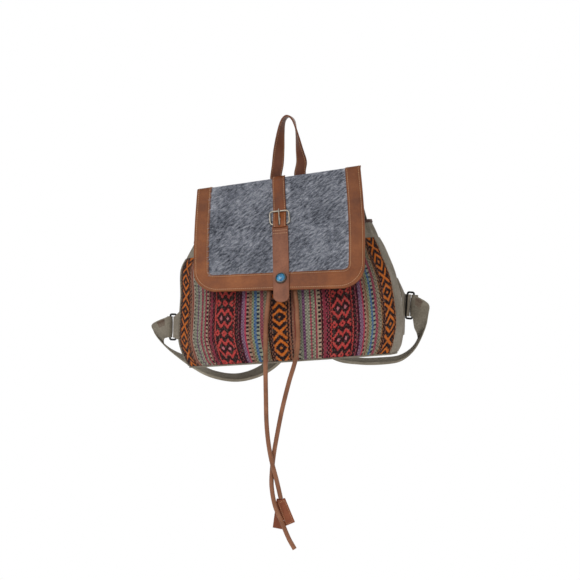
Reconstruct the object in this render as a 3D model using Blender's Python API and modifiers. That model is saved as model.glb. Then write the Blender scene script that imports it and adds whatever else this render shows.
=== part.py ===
"""A small flap backpack that hangs by its handle.

The striped front, canvas sides, back and base make a bag with a drawstring mouth. A leather-edged
hide flap folds over the mouth and carries a buckled strap. Two shoulder straps run from a yoke on
the back to rings at the lower corners. The origin is the point that the handle hangs from, X runs
along the bag's width, the front faces -Y and Z is up. All sizes are in metres.
"""

import math

import bmesh
import bpy
import numpy as np
from mathutils import Vector

# How the bag hangs. A drop is measured down the bag's centre line from the top of the flap's fold.
FOLD_CENTRE_X = -0.0137
FOLD_CENTRE_Z = -0.0942
TOP_TILT = math.radians(6.9)
BASE_TILT = math.radians(4.3)
BODY_DROP = 0.282
GAP = 0.0003

# The body: a section at each drop has a bowed front, two gussets and a flat back.
CLOTH = 0.0018
CANVAS = 0.0015
LINING = 0.0012
MOUTH_DROP = 0.087
CASING_HEIGHT = 0.023
MOUTH_HALF_WIDTH = 0.139
WAIST_HALF_WIDTH = 0.1585
BELLY_HALF_WIDTH = 0.171
BASE_HALF_WIDTH = 0.157
TOP_HALF_WIDTH = 0.126
BACK_NARROWER = 0.004
MOUTH_SWAY = -0.003
WAIST_SWAY = -0.007
MOUTH_FRONT = 0.037
WAIST_FRONT = 0.068
BELLY_FRONT = 0.0935
BASE_FRONT = 0.083
MOUTH_SEAM = 0.020
BELLY_SEAM = 0.052
BACK_LEAN = 0.0366
FRONT_BOW = math.radians(62)
GUSSET_BOW = 0.004
BASE_THICKNESS = 0.0024
BINDING_HEIGHT = 0.0045
BINDING_THICKNESS = 0.0040

# The drawstring, its casing's room and its eyelets.
LACE_RADIUS = 0.0034
LACE_ROOM = 0.0024
EYELET_SPACING = 0.040
EYELET_HOLE = 0.0042
EYELET_WALL = 0.0005
EYELET_FLANGE = 0.0075
EYELET_HEIGHT = 0.0009
CASING_HOLE = EYELET_HOLE + EYELET_WALL + GAP

# The flap, in its own sheet: across, along from the fold, and height above its inner face.
AXIS_DROP = 0.0085
AXIS_Y = -0.0060
ROOT_RADIUS = 0.0040
ROOT_THICKNESS = 0.0018
ROOT_DROP = 0.047
WRAP_RADIUS = 0.0048
WRAP_END = math.radians(100)
FLAP_LEAN = math.radians(26)
FLAP_HALF_WIDTH = 0.1305
FLAP_LENGTH = 0.1896
FLAP_CORNER = 0.034
FLAP_SKEW = 0.39
FLAP_DRIFT = 0.0052
FLAP_SPREAD = 0.011
FLAP_BULGE = 0.025
BORDER_SIDE = 0.024
BORDER_BASE = 0.029
BORDER_CORNER = 0.008
HIDE = 0.0020
LEATHER = 0.0025

# The closing strap and its buckle, on the flap.
STRAP_AT = 0.004
STRAP_LEAN = 0.0044
UPPER_STRAP_WIDTH = 0.0195
LOWER_STRAP_WIDTH = 0.024
STRAP_THICKNESS = 0.0020
LOWER_STRAP_THICKNESS = 0.0022
LOWER_STRAP_END = 0.2112
TIP_LENGTH = 0.009
HINGE_AT = 0.0795
FRAME_LENGTH = 0.0217
FRAME_WIDTH = 0.0305
FRAME_CORNER = 0.005
FRAME_WIRE = 0.0014
PRONG_WIRE = 0.0009
PRONG_OVERHANG = 0.0030
SLOT_START = 0.0660
TAIL = 0.0064
CONCHO_AT = 0.1722
CONCHO_RADIUS = 0.0090
CONCHO_HEIGHT = 0.0024
STONE_RADIUS = 0.0065
STONE_DOME = 0.0022
SNAP_RADIUS = 0.0080
SNAP_HEIGHT = 0.0032
SNAP_RECESS_RADIUS = 0.0036
SNAP_RECESS_DEPTH = 0.0022
SNAP_PLAY = 0.0004
SNAP_SEAT = 0.0014

# The handle and the yoke.
HANDLE_WIDTH = 0.0185
HANDLE_THICKNESS = 0.0028
HANDLE_LEFT = -0.0083
HANDLE_RIGHT = 0.0327
HANDLE_DROP = 0.045
YOKE_AT = 0.0052
YOKE_HALF_WIDTH = 0.076
YOKE_TOP = 0.0235
YOKE_BASE = 0.058
YOKE_THICKNESS = 0.0018

# The shoulder straps, their wings and rings.
SHOULDER_WIDTH = 0.034
LOOP_WIDTH = 0.0315
SHOULDER_THICKNESS = 0.0046
WEBBING = 0.0022
SHOULDER_AT = 0.0555
SHOULDER_TOP = 0.0245
WING_TOP = 0.172
WING_BASE = 0.258
PADDING_START = 0.16
PADDING_FULL = 0.32
RING_LENGTH = 0.041
RING_WIDTH = 0.0098
RING_CORNER = 0.0024
RING_WIRE = 0.0016
LOOP_PLAY = 0.0020
LOOP_SWEEP = math.radians(250)

# The leather tab on one lace's end.
TAB_WIDTH = 0.0135
TAB_LENGTH = 0.0390
TAB_BACK_LENGTH = 0.0450
TAB_THICKNESS = 0.0016
TAB_SPREAD = 0.0030

COLOURS = {
    "weave": (0.36, 0.12, 0.09),
    "canvas": (0.18, 0.16, 0.12),
    "canvas_dark": (0.07, 0.062, 0.05),
    "leather": (0.235, 0.088, 0.029),
    "leather_dark": (0.085, 0.032, 0.018),
    "hide": (0.20, 0.21, 0.235),
    "silver": (0.55, 0.55, 0.53),
    "black_metal": (0.03, 0.03, 0.032),
    "stone": (0.02, 0.28, 0.42),
    "lining": (0.10, 0.09, 0.07),
}
METALS = ("silver", "black_metal")


def smooth_value(stations, at):
    """The value at a place on a smooth curve through (place, value) stations."""
    places = [s[0] for s in stations]
    values = [np.array(s[1], float) for s in stations]
    count = len(places)
    slopes = []
    for i in range(count):
        low, high = max(0, i - 1), min(count - 1, i + 1)
        slopes.append((values[high] - values[low]) / (places[high] - places[low]))
    at = min(max(at, places[0]), places[-1])
    i = min(max(int(np.searchsorted(places, at)) - 1, 0), count - 2)
    span = places[i + 1] - places[i]
    t = (at - places[i]) / span
    return (
        (2 * t**3 - 3 * t**2 + 1) * values[i]
        + (t**3 - 2 * t**2 + t) * span * slopes[i]
        + (3 * t**2 - 2 * t**3) * values[i + 1]
        + (t**3 - t**2) * span * slopes[i + 1]
    )


def smooth_step(low, high, at):
    """0 below low, 1 above high and an even rise between them."""
    t = min(max((at - low) / (high - low), 0), 1)
    return t * t * (3 - 2 * t)


def hanging(across, depth, drop):
    """A point of the bag as it hangs: its centre line bends from the top's tilt to the base's."""
    turn = (BASE_TILT - TOP_TILT) / BODY_DROP
    tilt = TOP_TILT + turn * drop
    x = FOLD_CENTRE_X + (math.cos(TOP_TILT) - math.cos(tilt)) / turn
    z = FOLD_CENTRE_Z - (math.sin(tilt) - math.sin(TOP_TILT)) / turn
    return Vector((x + across * math.cos(tilt), depth, z + across * math.sin(tilt)))


def sway(drop):
    """How far the section hangs to the right of the bag's centre line at a drop."""
    places = (0, MOUTH_DROP, 0.45 * BODY_DROP, 0.62 * BODY_DROP, BODY_DROP)
    return float(smooth_value(list(zip(places, (0, MOUTH_SWAY, WAIST_SWAY, 0, 0))), drop))


def section_sizes(drop):
    """Half width, front, seam, back and back's half width of the body's section at a drop."""
    waist, hollow, belly = 0.46 * BODY_DROP, 0.54 * BODY_DROP, 0.83 * BODY_DROP
    low = 0.96 * BODY_DROP
    half = smooth_value(
        [
            (0.0, TOP_HALF_WIDTH),
            (MOUTH_DROP, MOUTH_HALF_WIDTH),
            (waist, WAIST_HALF_WIDTH),
            (belly, BELLY_HALF_WIDTH),
            (low, 0.45 * BELLY_HALF_WIDTH + 0.55 * BASE_HALF_WIDTH),
            (BODY_DROP, BASE_HALF_WIDTH),
        ],
        drop,
    )
    front = smooth_value(
        [
            (MOUTH_DROP, MOUTH_FRONT),
            (hollow, WAIST_FRONT),
            (belly, BELLY_FRONT),
            (low, 0.55 * BELLY_FRONT + 0.45 * BASE_FRONT),
            (BODY_DROP, BASE_FRONT),
        ],
        drop,
    )
    seam = smooth_value([(MOUTH_DROP, MOUTH_SEAM), (belly, BELLY_SEAM), (BODY_DROP, BELLY_SEAM)], drop)
    back_top = AXIS_Y + ROOT_RADIUS - ROOT_THICKNESS - GAP - CANVAS
    lean = smooth_step(-0.35 * BODY_DROP, BODY_DROP, drop) - smooth_step(-0.35 * BODY_DROP, BODY_DROP, AXIS_DROP)
    back = back_top + BACK_LEAN * max(lean, 0)
    return float(half), -float(front), -float(seam), float(back), float(half) - BACK_NARROWER


def section_point(turn, drop, inset=0.0):
    """A point on the section: turn -1 to 1 is the front, 1 to 2 a gusset, 2 to 4 the back."""
    half, front, seam, back, back_half = section_sizes(drop)
    half, front, back, back_half = half - inset, front + inset, back - inset, back_half - inset
    seam += 0.6 * inset
    shift = sway(drop)
    turn = (turn + 2) % 6 - 2
    if abs(turn) <= 1:
        x = half * math.sin(FRONT_BOW * turn) / math.sin(FRONT_BOW)
        rise = (math.cos(FRONT_BOW * turn) - math.cos(FRONT_BOW)) / (1 - math.cos(FRONT_BOW))
        return np.array([shift + x, seam - (seam - front) * rise])
    if abs(turn) <= 2:
        side, t = math.copysign(1, turn), abs(turn) - 1
        x = half + (back_half - half) * t + GUSSET_BOW * math.sin(math.pi * t)
        return np.array([shift + side * x, seam + (back - seam) * t])
    return np.array([shift + back_half * (3 - turn), back])


def front_turn(across, drop):
    """The turn at which the front is that far across."""
    half = section_sizes(drop)[0]
    return math.asin((across - sway(drop)) * math.sin(FRONT_BOW) / half) / FRONT_BOW


def wall(turn, drop, out, low=-2.0, high=4.0):
    """A point of the body's wall, out from its section; low and high bound one panel's turns."""
    here = section_point(turn, drop)
    step = 0.004
    before = section_point(max(turn - step, low), drop)
    after = section_point(min(turn + step, high), drop)
    along = after - before
    normal = np.array([along[1], -along[0]]) / np.hypot(*along)
    x, y = here + normal * out
    return hanging(x, y, drop)


def panel_place(low, high):
    """How a flat panel between two turns is laid on the body."""

    def place(turn, drop, out):
        return wall(turn, drop, out, low, high)

    return place


def flap_place(across, along, height):
    """A point of the flap; along is measured from where the flap leaves the fold's roll."""
    share = min(max(along / FLAP_LENGTH, 0), 1)
    across = across * (1 + FLAP_SPREAD + FLAP_BULGE * math.sin(math.pi * share)) + FLAP_DRIFT * share
    radius = WRAP_RADIUS + height
    leave = math.pi - FLAP_LEAN
    if along < 0:
        angle = leave + along / WRAP_RADIUS
        return hanging(across, AXIS_Y + radius * math.cos(angle), AXIS_DROP - radius * math.sin(angle))
    run = along * (1 + FLAP_SKEW * across)
    depth = AXIS_Y + radius * math.cos(leave) - run * math.sin(FLAP_LEAN)
    return hanging(across, depth, AXIS_DROP - radius * math.sin(leave) + run * math.cos(FLAP_LEAN))


WRAP_LENGTH = WRAP_RADIUS * (math.pi - FLAP_LEAN - WRAP_END)
HIDE_TOP = LINING + GAP + HIDE
BORDER_TOP = LINING + GAP + LEATHER
UPPER_STRAP_BASE = HIDE_TOP + GAP
LOWER_STRAP_BASE = BORDER_TOP + GAP
HINGE_HEIGHT = HIDE_TOP + GAP + FRAME_WIRE
EYE_RADIUS = FRAME_WIRE + GAP + PRONG_WIRE
STRAP_OVER_HINGE = HINGE_HEIGHT + FRAME_WIRE + GAP
SLOT_END = HINGE_AT + EYE_RADIUS + PRONG_WIRE + 2 * GAP
TOP_BAR_HEIGHT = UPPER_STRAP_BASE + STRAP_THICKNESS + GAP + FRAME_WIRE
TOP_BAR_AT = HINGE_AT - FRAME_LENGTH


def strap_place(across, along, height):
    """A point of what is on the closing strap, which leans a little on the flap."""
    lean = STRAP_LEAN * (along / FLAP_LENGTH - 0.5)
    return flap_place(across + lean, along, height)


def upper_strap_place(across, along, height):
    """The upper strap lies on the hide, behind the top bar, then over the frame's hinge bar."""
    rise = smooth_step(TOP_BAR_AT + FRAME_WIRE + GAP, HINGE_AT - 0.0015, along)
    return strap_place(across, along, height + UPPER_STRAP_BASE + rise * (STRAP_OVER_HINGE - UPPER_STRAP_BASE))


def add_object(name, mesh, colour, collection="backpack"):
    """A new object with its own material, in the object's collection."""
    obj = bpy.data.objects.new(name, mesh)
    bpy.data.collections[collection].objects.link(obj)
    material = bpy.data.materials.new(name)
    material.use_nodes = True
    shader = material.node_tree.nodes["Principled BSDF"]
    shader.inputs["Base Color"].default_value = (*COLOURS[colour], 1)
    shader.inputs["Roughness"].default_value = 0.3 if colour in METALS else 0.75
    shader.inputs["Metallic"].default_value = 1.0 if colour in METALS else 0.0
    obj.data.materials.append(material)
    return obj


def finish_mesh(name, bm, colour, smooth_angle=40):
    """Turns a bmesh into an object, faces out and shaded smooth."""
    bmesh.ops.recalc_face_normals(bm, faces=bm.faces)
    if bm.calc_volume(signed=True) < 0:
        bmesh.ops.reverse_faces(bm, faces=bm.faces)
    mesh = bpy.data.meshes.new(name)
    bm.to_mesh(mesh)
    bm.free()
    mesh.shade_smooth()
    mesh.set_sharp_from_angle(angle=math.radians(smooth_angle))
    return add_object(name, mesh, colour)


def grid_piece(name, across, along, heights, cells, place, colour):
    """A rectangular sheet with thickness, divided into cells and laid where place puts it."""
    bm = bmesh.new()
    bmesh.ops.create_grid(bm, x_segments=cells[0], y_segments=cells[1], size=0.5)
    top = bmesh.ops.extrude_face_region(bm, geom=list(bm.faces))["geom"]
    for v in (g for g in top if isinstance(g, bmesh.types.BMVert)):
        v.co.z = 1
    for v in bm.verts:
        u = across[0] + (v.co.x + 0.5) * (across[1] - across[0])
        w = along[0] + (v.co.y + 0.5) * (along[1] - along[0])
        v.co = place(u, w, heights[0] + v.co.z * (heights[1] - heights[0]))
    return finish_mesh(name, bm, colour)


def outline_piece(name, outlines, heights, cuts, place, colour):
    """A sheet cut to an outline with holes, divided at cuts along it and laid where place puts it."""
    thickness = heights[1] - heights[0]
    curve = bpy.data.curves.new(name, "CURVE")
    curve.dimensions, curve.fill_mode, curve.extrude = "2D", "BOTH", thickness / 2
    for outline in outlines:
        spline = curve.splines.new("POLY")
        spline.points.add(len(outline) - 1)
        for point, (x, y) in zip(spline.points, outline):
            point.co = (x, y, 0, 1)
        spline.use_cyclic_u = True
    flat = bpy.data.objects.new(name, curve)
    bm = bmesh.new()
    bm.from_mesh(bpy.data.meshes.new_from_object(flat))
    bpy.data.objects.remove(flat)
    bmesh.ops.remove_doubles(bm, verts=bm.verts, dist=1e-6)
    for along in cuts:
        geometry = list(bm.verts) + list(bm.edges) + list(bm.faces)
        bmesh.ops.bisect_plane(bm, geom=geometry, plane_co=(0, along, 0), plane_no=(0, 1, 0))
    for v in bm.verts:
        v.co = place(v.co.x, v.co.y, v.co.z + thickness / 2 + heights[0])
    bmesh.ops.triangulate(bm, faces=bm.faces)
    return finish_mesh(name, bm, colour)


def arc(centre, radius, start, end, steps):
    """Points along an arc; angles are in degrees."""
    angles = [math.radians(start + (end - start) * i / steps) for i in range(steps + 1)]
    return [(centre[0] + radius * math.cos(a), centre[1] + radius * math.sin(a)) for a in angles]


def ribbon(name, stations, thickness, colour, columns=2, spacing=0.009, bows=None):
    """A strap laid through pairs of edge points; thickness is a function of the share along it.

    The bows, where given, push the middle of each station off the line between its edges. Each
    stretch between two stations is divided into rows about one spacing long.
    """
    bows = bows or [Vector()] * len(stations)
    middles = [(a + b) / 2 for a, b in stations]
    places = [0.0]
    for before, after in zip(middles, middles[1:]):
        places.append(places[-1] + (after - before).length)
    edges = [(p, (*a, *b, *bow)) for p, (a, b), bow in zip(places, stations, bows)]
    length = places[-1]
    rows = [0.0]
    for low, high in zip(places, places[1:]):
        count = max(1, round((high - low) / spacing))
        rows += [low + (high - low) * (i + 1) / count for i in range(count)]

    def edges_and_bow(at):
        values = smooth_value(edges, at)
        return Vector(values[:3]), Vector(values[3:6]), Vector(values[6:])

    def place(across, row, height):
        along = rows[round(row)]
        a, b, bow = edges_and_bow(along)
        before, after = edges_and_bow(along - 0.0004), edges_and_bow(along + 0.0004)
        share = 0.25 + across / 2
        forward = after[0].lerp(after[1], share) - before[0].lerp(before[1], share)
        normal = forward.cross(b - a).normalized()
        middle = a.lerp(b, across) + bow * (4 * across * (1 - across))
        return middle + normal * (height * thickness(along / length))

    cells = (columns, len(rows) - 1)
    return grid_piece(name, (0, 1), (0, cells[1]), (-0.5, 0.5), cells, place, colour)


def even_thickness(value):
    """The same thickness all along."""
    return lambda share: value


def curve_object(name, points, radius, colour, closed=False, resolution=2):
    """A wire, lace or rail as a curve with filled caps."""
    curve = bpy.data.curves.new(name, "CURVE")
    curve.dimensions = "3D"
    curve.bevel_depth, curve.bevel_resolution, curve.use_fill_caps = radius, resolution, not closed
    spline = curve.splines.new("POLY")
    spline.points.add(len(points) - 1)
    for target, point in zip(spline.points, points):
        target.co = (*point, 1)
    spline.use_cyclic_u = closed
    return add_object(name, curve, colour)


def smooth_route(points, step):
    """Evenly spaced points on a smooth curve through the route's points."""
    places = [0.0]
    for before, after in zip(points, points[1:]):
        places.append(places[-1] + (Vector(after) - Vector(before)).length)
    stations = list(zip(places, [tuple(p) for p in points]))
    count = max(2, math.ceil(places[-1] / step))
    return [Vector(smooth_value(stations, places[-1] * i / count)) for i in range(count + 1)]


def rounded_loop(width, height, corner, steps=4):
    """The points of a rounded rectangle about its centre."""
    points = []
    for x, y, start in ((1, -1, -90), (1, 1, 0), (-1, 1, 90), (-1, -1, 180)):
        centre = (x * (width / 2 - corner), y * (height / 2 - corner))
        points += arc(centre, corner, start, start + 90, steps)
    return points


def frame_vectors(place, at, height):
    """The centre, across, along and outward directions of the flap's sheet at a place."""
    step = 0.001
    centre = place(STRAP_AT, at, height)
    across = (place(STRAP_AT + step, at, height) - centre).normalized()
    outward = (place(STRAP_AT, at, height + step) - centre).normalized()
    return centre, across, outward.cross(across).normalized(), outward


def turned_piece(name, profile, centre, outward, colour, steps=24):
    """A turned piece: a profile of (radius, height) run outer side first, set on its axis."""
    mesh = bpy.data.meshes.new(name)
    points = [(r, 0, h) for r, h in profile]
    edges = [(i, i + 1) for i in range(len(points) - 1)]
    if profile[0][0] > 0:
        edges.append((len(points) - 1, 0))
    mesh.from_pydata(points, edges, [])
    obj = add_object(name, mesh, colour)
    screw = obj.modifiers.new("Turn", "SCREW")
    screw.steps = screw.render_steps = steps
    screw.use_merge_vertices, screw.merge_threshold = True, 0.00001
    screw.use_normal_calculate = True
    obj.location = centre
    obj.rotation_euler = outward.to_track_quat("Z", "Y").to_euler()
    bpy.context.view_layer.update()
    turned = bpy.data.meshes.new_from_object(obj.evaluated_get(bpy.context.evaluated_depsgraph_get()))
    bm = bmesh.new()
    bm.from_mesh(turned)
    bmesh.ops.remove_doubles(bm, verts=bm.verts, dist=1e-6)
    bmesh.ops.recalc_face_normals(bm, faces=bm.faces)
    bm.to_mesh(turned)
    bm.free()
    obj.modifiers.clear()
    obj.data = turned
    turned.shade_smooth()
    turned.set_sharp_from_angle(angle=math.radians(40))
    return obj


def make_body():
    """The striped front, the canvas gussets and back, and the base."""
    seam = GAP / (2 * BELLY_HALF_WIDTH)
    casing_end = MOUTH_DROP + CASING_HEIGHT
    below = (casing_end + GAP, BODY_DROP)
    grid_piece("front_panel", (-1 + seam, 1 - seam), below, (0, CLOTH), (26, 12), panel_place(-1, 1), "weave")
    side = 4 * seam
    for name, low in (("side_gusset_left", -2), ("side_gusset_right", 1)):
        turns = (low + side, low + 1 - side)
        grid_piece(name, turns, below, (0, CANVAS), (5, 12), panel_place(low, low + 1), "canvas")
    back = (AXIS_DROP + 0.001, BODY_DROP)
    grid_piece("back_panel", (2 + side, 4 - side), back, (0, CANVAS), (8, 20), panel_place(2, 4), "canvas")
    outline = []
    for i in range(56):
        turn = -2 + 6 * i / 56
        low = -1 if abs(turn) < 1 else -2 if turn < 0 else 1 if turn < 2 else 2
        high = low + 2 if low in (-1, 2) else low + 1
        rim = wall(turn, BODY_DROP, CANVAS, low, high)
        origin, right = hanging(0, 0, BODY_DROP), hanging(1, 0, BODY_DROP) - hanging(0, 0, BODY_DROP)
        outline.append(((rim - origin).dot(right), rim.y))
    down = Vector((math.sin(BASE_TILT), 0, -math.cos(BASE_TILT)))

    def base_place(x, y, h):
        return hanging(x, y, BODY_DROP) + down * (GAP + h)

    outline_piece("base_panel", [outline], (0, BASE_THICKNESS), [], base_place, "canvas")


def make_casing():
    """The drawstring casing around the mouth, with two holes, and its leather binding."""
    seam = GAP / BELLY_HALF_WIDTH
    drops = (MOUTH_DROP, MOUTH_DROP + CASING_HEIGHT)
    turns = (-2 + seam, 2 - seam)
    casing = grid_piece("drawstring_casing", turns, drops, (0, CANVAS), (48, 6), panel_place(-2, 2), "canvas")
    for side in (-1, 1):
        bpy.ops.mesh.primitive_cylinder_add(vertices=24, radius=CASING_HOLE, depth=6 * CLOTH)
        cutter = bpy.context.object
        cutter.name = f"casing_hole_{side}"
        cutter.location, cutter.rotation_euler = eyelet_seat(side, 0)
        cutter.hide_render, cutter.display_type = True, "WIRE"
        for other in list(cutter.users_collection):
            other.objects.unlink(cutter)
        bpy.data.collections["cutters"].objects.link(cutter)
        cut = casing.modifiers.new(cutter.name, "BOOLEAN")
        cut.operation, cut.solver, cut.object = "DIFFERENCE", "EXACT", cutter
    rim = (MOUTH_DROP - GAP - BINDING_HEIGHT, MOUTH_DROP - GAP)
    out = (CANVAS / 2 - BINDING_THICKNESS / 2, CANVAS / 2 + BINDING_THICKNESS / 2)
    grid_piece("mouth_binding", turns, rim, out, (40, 1), panel_place(-2, 2), "leather_dark")


def eyelet_drop():
    """The drop of the eyelets and the drawstring, halfway down the casing."""
    return MOUTH_DROP + CASING_HEIGHT / 2


def eyelet_turn(side):
    """The front's turn at the left (-1) or right (1) eyelet."""
    return front_turn(STRAP_AT + side * EYELET_SPACING / 2, eyelet_drop())


def eyelet_seat(side, out):
    """Where an eyelet sits, and its rotation with Z pointing out of the casing."""
    turn, drop = eyelet_turn(side), eyelet_drop()
    centre = wall(turn, drop, out, -1, 1)
    sideways = wall(turn + 0.01, drop, out, -1, 1) - centre
    downward = wall(turn, drop + 0.001, out, -1, 1) - centre
    outward = downward.cross(sideways).normalized()
    return centre, outward.to_track_quat("Z", "Y").to_euler()


def make_eyelets():
    """A flanged metal eyelet in each hole of the casing."""
    for name, side in (("eyelet_left", -1), ("eyelet_right", 1)):
        centre, turn = eyelet_seat(side, 0)
        outer = EYELET_HOLE + EYELET_WALL
        seat = CANVAS + GAP
        profile = [
            (EYELET_HOLE, seat + EYELET_HEIGHT),
            (EYELET_FLANGE - EYELET_HEIGHT / 2, seat + EYELET_HEIGHT),
            (EYELET_FLANGE, seat + EYELET_HEIGHT / 2),
            (EYELET_FLANGE, seat),
            (outer, seat),
            (outer, 0.0002),
            (EYELET_HOLE, 0.0002),
        ]
        outward = Vector((0, 0, 1))
        outward.rotate(turn)
        turned_piece(name, profile, centre, outward, "black_metal", 20)


def make_lining():
    """The lining: an open cup inside the walls, drawn in behind the drawstring's channel."""
    channel = 2 * LACE_RADIUS + LACE_ROOM
    casing_end = MOUTH_DROP + CASING_HEIGHT
    drops = [MOUTH_DROP + CASING_HEIGHT * share for share in (0.02, 0.3, 0.7)]
    drops += [casing_end + GAP + (BODY_DROP - casing_end - GAP) * i / 12 for i in range(13)]
    drops[-1] -= 0.001
    count = 36

    def ring(bm, drop, extra):
        near = 1 - smooth_step(eyelet_drop() + 0.009, casing_end + 0.010, drop)
        inset = 0.0006 + extra + channel * near
        points = []
        for i in range(count):
            x, y = section_point(-2 + 6 * i / count, drop, inset)
            points.append(bm.verts.new(hanging(x, y, drop)))
        return points

    bm = bmesh.new()
    outer = [ring(bm, d, 0) for d in drops]
    inner = [ring(bm, d - (LINING if d == drops[-1] else 0), LINING) for d in drops]
    bands = [*zip(outer, outer[1:]), *zip(inner, inner[1:]), (outer[0], inner[0])]
    for a, b in bands:
        for i in range(count):
            j = (i + 1) % count
            bm.faces.new((a[i], a[j], b[j], b[i]))
    for last in (outer[-1], inner[-1]):
        middle = bm.verts.new(sum((v.co for v in last), Vector()) / count)
        for i in range(count):
            bm.faces.new((last[i], last[(i + 1) % count], middle))
    finish_mesh("lining", bm, "lining")


def make_drawstring():
    """The held part of the drawstring, around the mouth between the casing and the lining."""
    inset = LACE_RADIUS + LACE_ROOM / 2
    points = []
    steps = 56
    start, end = eyelet_turn(1), 6 + eyelet_turn(-1)
    for i in range(steps + 1):
        turn = start + (end - start) * i / steps
        x, y = section_point(turn, eyelet_drop(), inset)
        points.append(hanging(x, y, eyelet_drop()))
    route = smooth_route(points, 3 * LACE_RADIUS)
    curve_object("drawstring_in_casing", route, LACE_RADIUS - 0.0004, "leather")


LEFT_LACE = [
    (-0.0060, -0.0872, -0.2704),
    (-0.0061, -0.0935, -0.2913),
    (-0.0068, -0.0980, -0.3100),
    (-0.0075, -0.0997, -0.3285),
    (-0.0079, -0.0999, -0.3509),
    (-0.0079, -0.0994, -0.3882),
    (-0.0076, -0.0985, -0.4270),
    (-0.0065, -0.0985, -0.4687),
    (-0.0030, -0.0995, -0.4999),
    (0.0027, -0.1005, -0.5271),
    (0.0090, -0.0990, -0.5516),
    (0.0150, -0.0970, -0.5790),
]
RIGHT_LACE = [
    (0.0343, -0.0872, -0.2704),
    (0.0386, -0.0935, -0.2912),
    (0.0405, -0.0980, -0.3100),
    (0.0421, -0.0997, -0.3282),
    (0.0420, -0.0999, -0.3504),
    (0.0377, -0.0990, -0.3742),
    (0.0275, -0.0965, -0.4056),
    (0.0161, -0.0940, -0.4477),
    (0.0069, -0.0915, -0.4899),
    (0.0025, -0.0915, -0.5154),
    (0.0006, -0.0950, -0.5419),
    (0.0018, -0.1000, -0.5621),
    (0.0080, -0.1040, -0.5890),
    (0.0189, -0.1045, -0.6134),
    (0.0293, -0.1030, -0.6378),
    (0.0376, -0.1015, -0.6525),
]


def lace_start(side):
    """The lace's first stretch: out of its eyelet, over the flange and down behind the flap."""
    centre, turn = eyelet_seat(side, 0)
    outward = Vector((0, 0, 1))
    outward.rotate(turn)
    ahead = wall(eyelet_turn(side), eyelet_drop() + 0.002, 0, -1, 1) - centre
    downward = (ahead - outward * ahead.dot(outward)).normalized()
    reach = CANVAS + GAP + EYELET_HEIGHT + LACE_RADIUS + GAP
    places = [(0.0, 0.0), (0.0, reach * 0.52), (0.0013, reach * 0.86), (0.0042, reach)]
    places.append((0.0110, reach * 0.97))
    points = [centre + outward * out + downward * down for down, out in places]
    rest = CLOTH + GAP + 1.1 * LACE_RADIUS
    for down in (0.022, 0.036, 0.050):
        points.append(wall(eyelet_turn(side), eyelet_drop() + down, rest, -1, 1))
    return points


def make_laces():
    """The two free ends of the drawstring, and the folded tab on the left one."""
    for name, side, route in (("drawstring_left", -1, LEFT_LACE), ("drawstring_right", 1, RIGHT_LACE)):
        points = lace_start(side) + [Vector(p) for p in route]
        smooth = smooth_route(points[:5], LACE_RADIUS * 0.8)[:-1] + smooth_route(points[4:], 4 * LACE_RADIUS)
        curve_object(name, smooth, LACE_RADIUS, "leather")
    end = Vector(LEFT_LACE[-1])
    heading = (end - Vector(LEFT_LACE[-2])).normalized()
    top = end + heading * (GAP + TAB_THICKNESS / 2)
    front_way = Vector((0.404, 0, -0.915)).normalized()
    back_way = Vector((-0.14, 0, -0.99)).normalized()
    bend = 0.0016

    def tab_place(across, along, height):
        share = smooth_step(-bend, bend, along)
        way = back_way.lerp(front_way, share).normalized()
        side = Vector((-way.z, 0, way.x))
        reach = abs(along)
        spread = bend * 0.9 + TAB_SPREAD * reach / TAB_LENGTH
        angle = math.pi / 2 * max(-1, min(1, along / bend))
        centre = top + way * (reach if reach > bend else reach * reach / bend)
        centre = centre + Vector((0, -spread * math.sin(angle), 0))
        outward = Vector((0, -math.sin(angle), 0)) - way * math.cos(angle)
        return centre + side * across + outward.normalized() * height

    half = TAB_THICKNESS / 2
    rows = (-TAB_BACK_LENGTH, TAB_LENGTH)
    cells = (1, 52)
    grid_piece(
        "lace_tab", (-TAB_WIDTH / 2, TAB_WIDTH / 2), rows, (-half, half), cells, tab_place, "leather_dark"
    )


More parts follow.
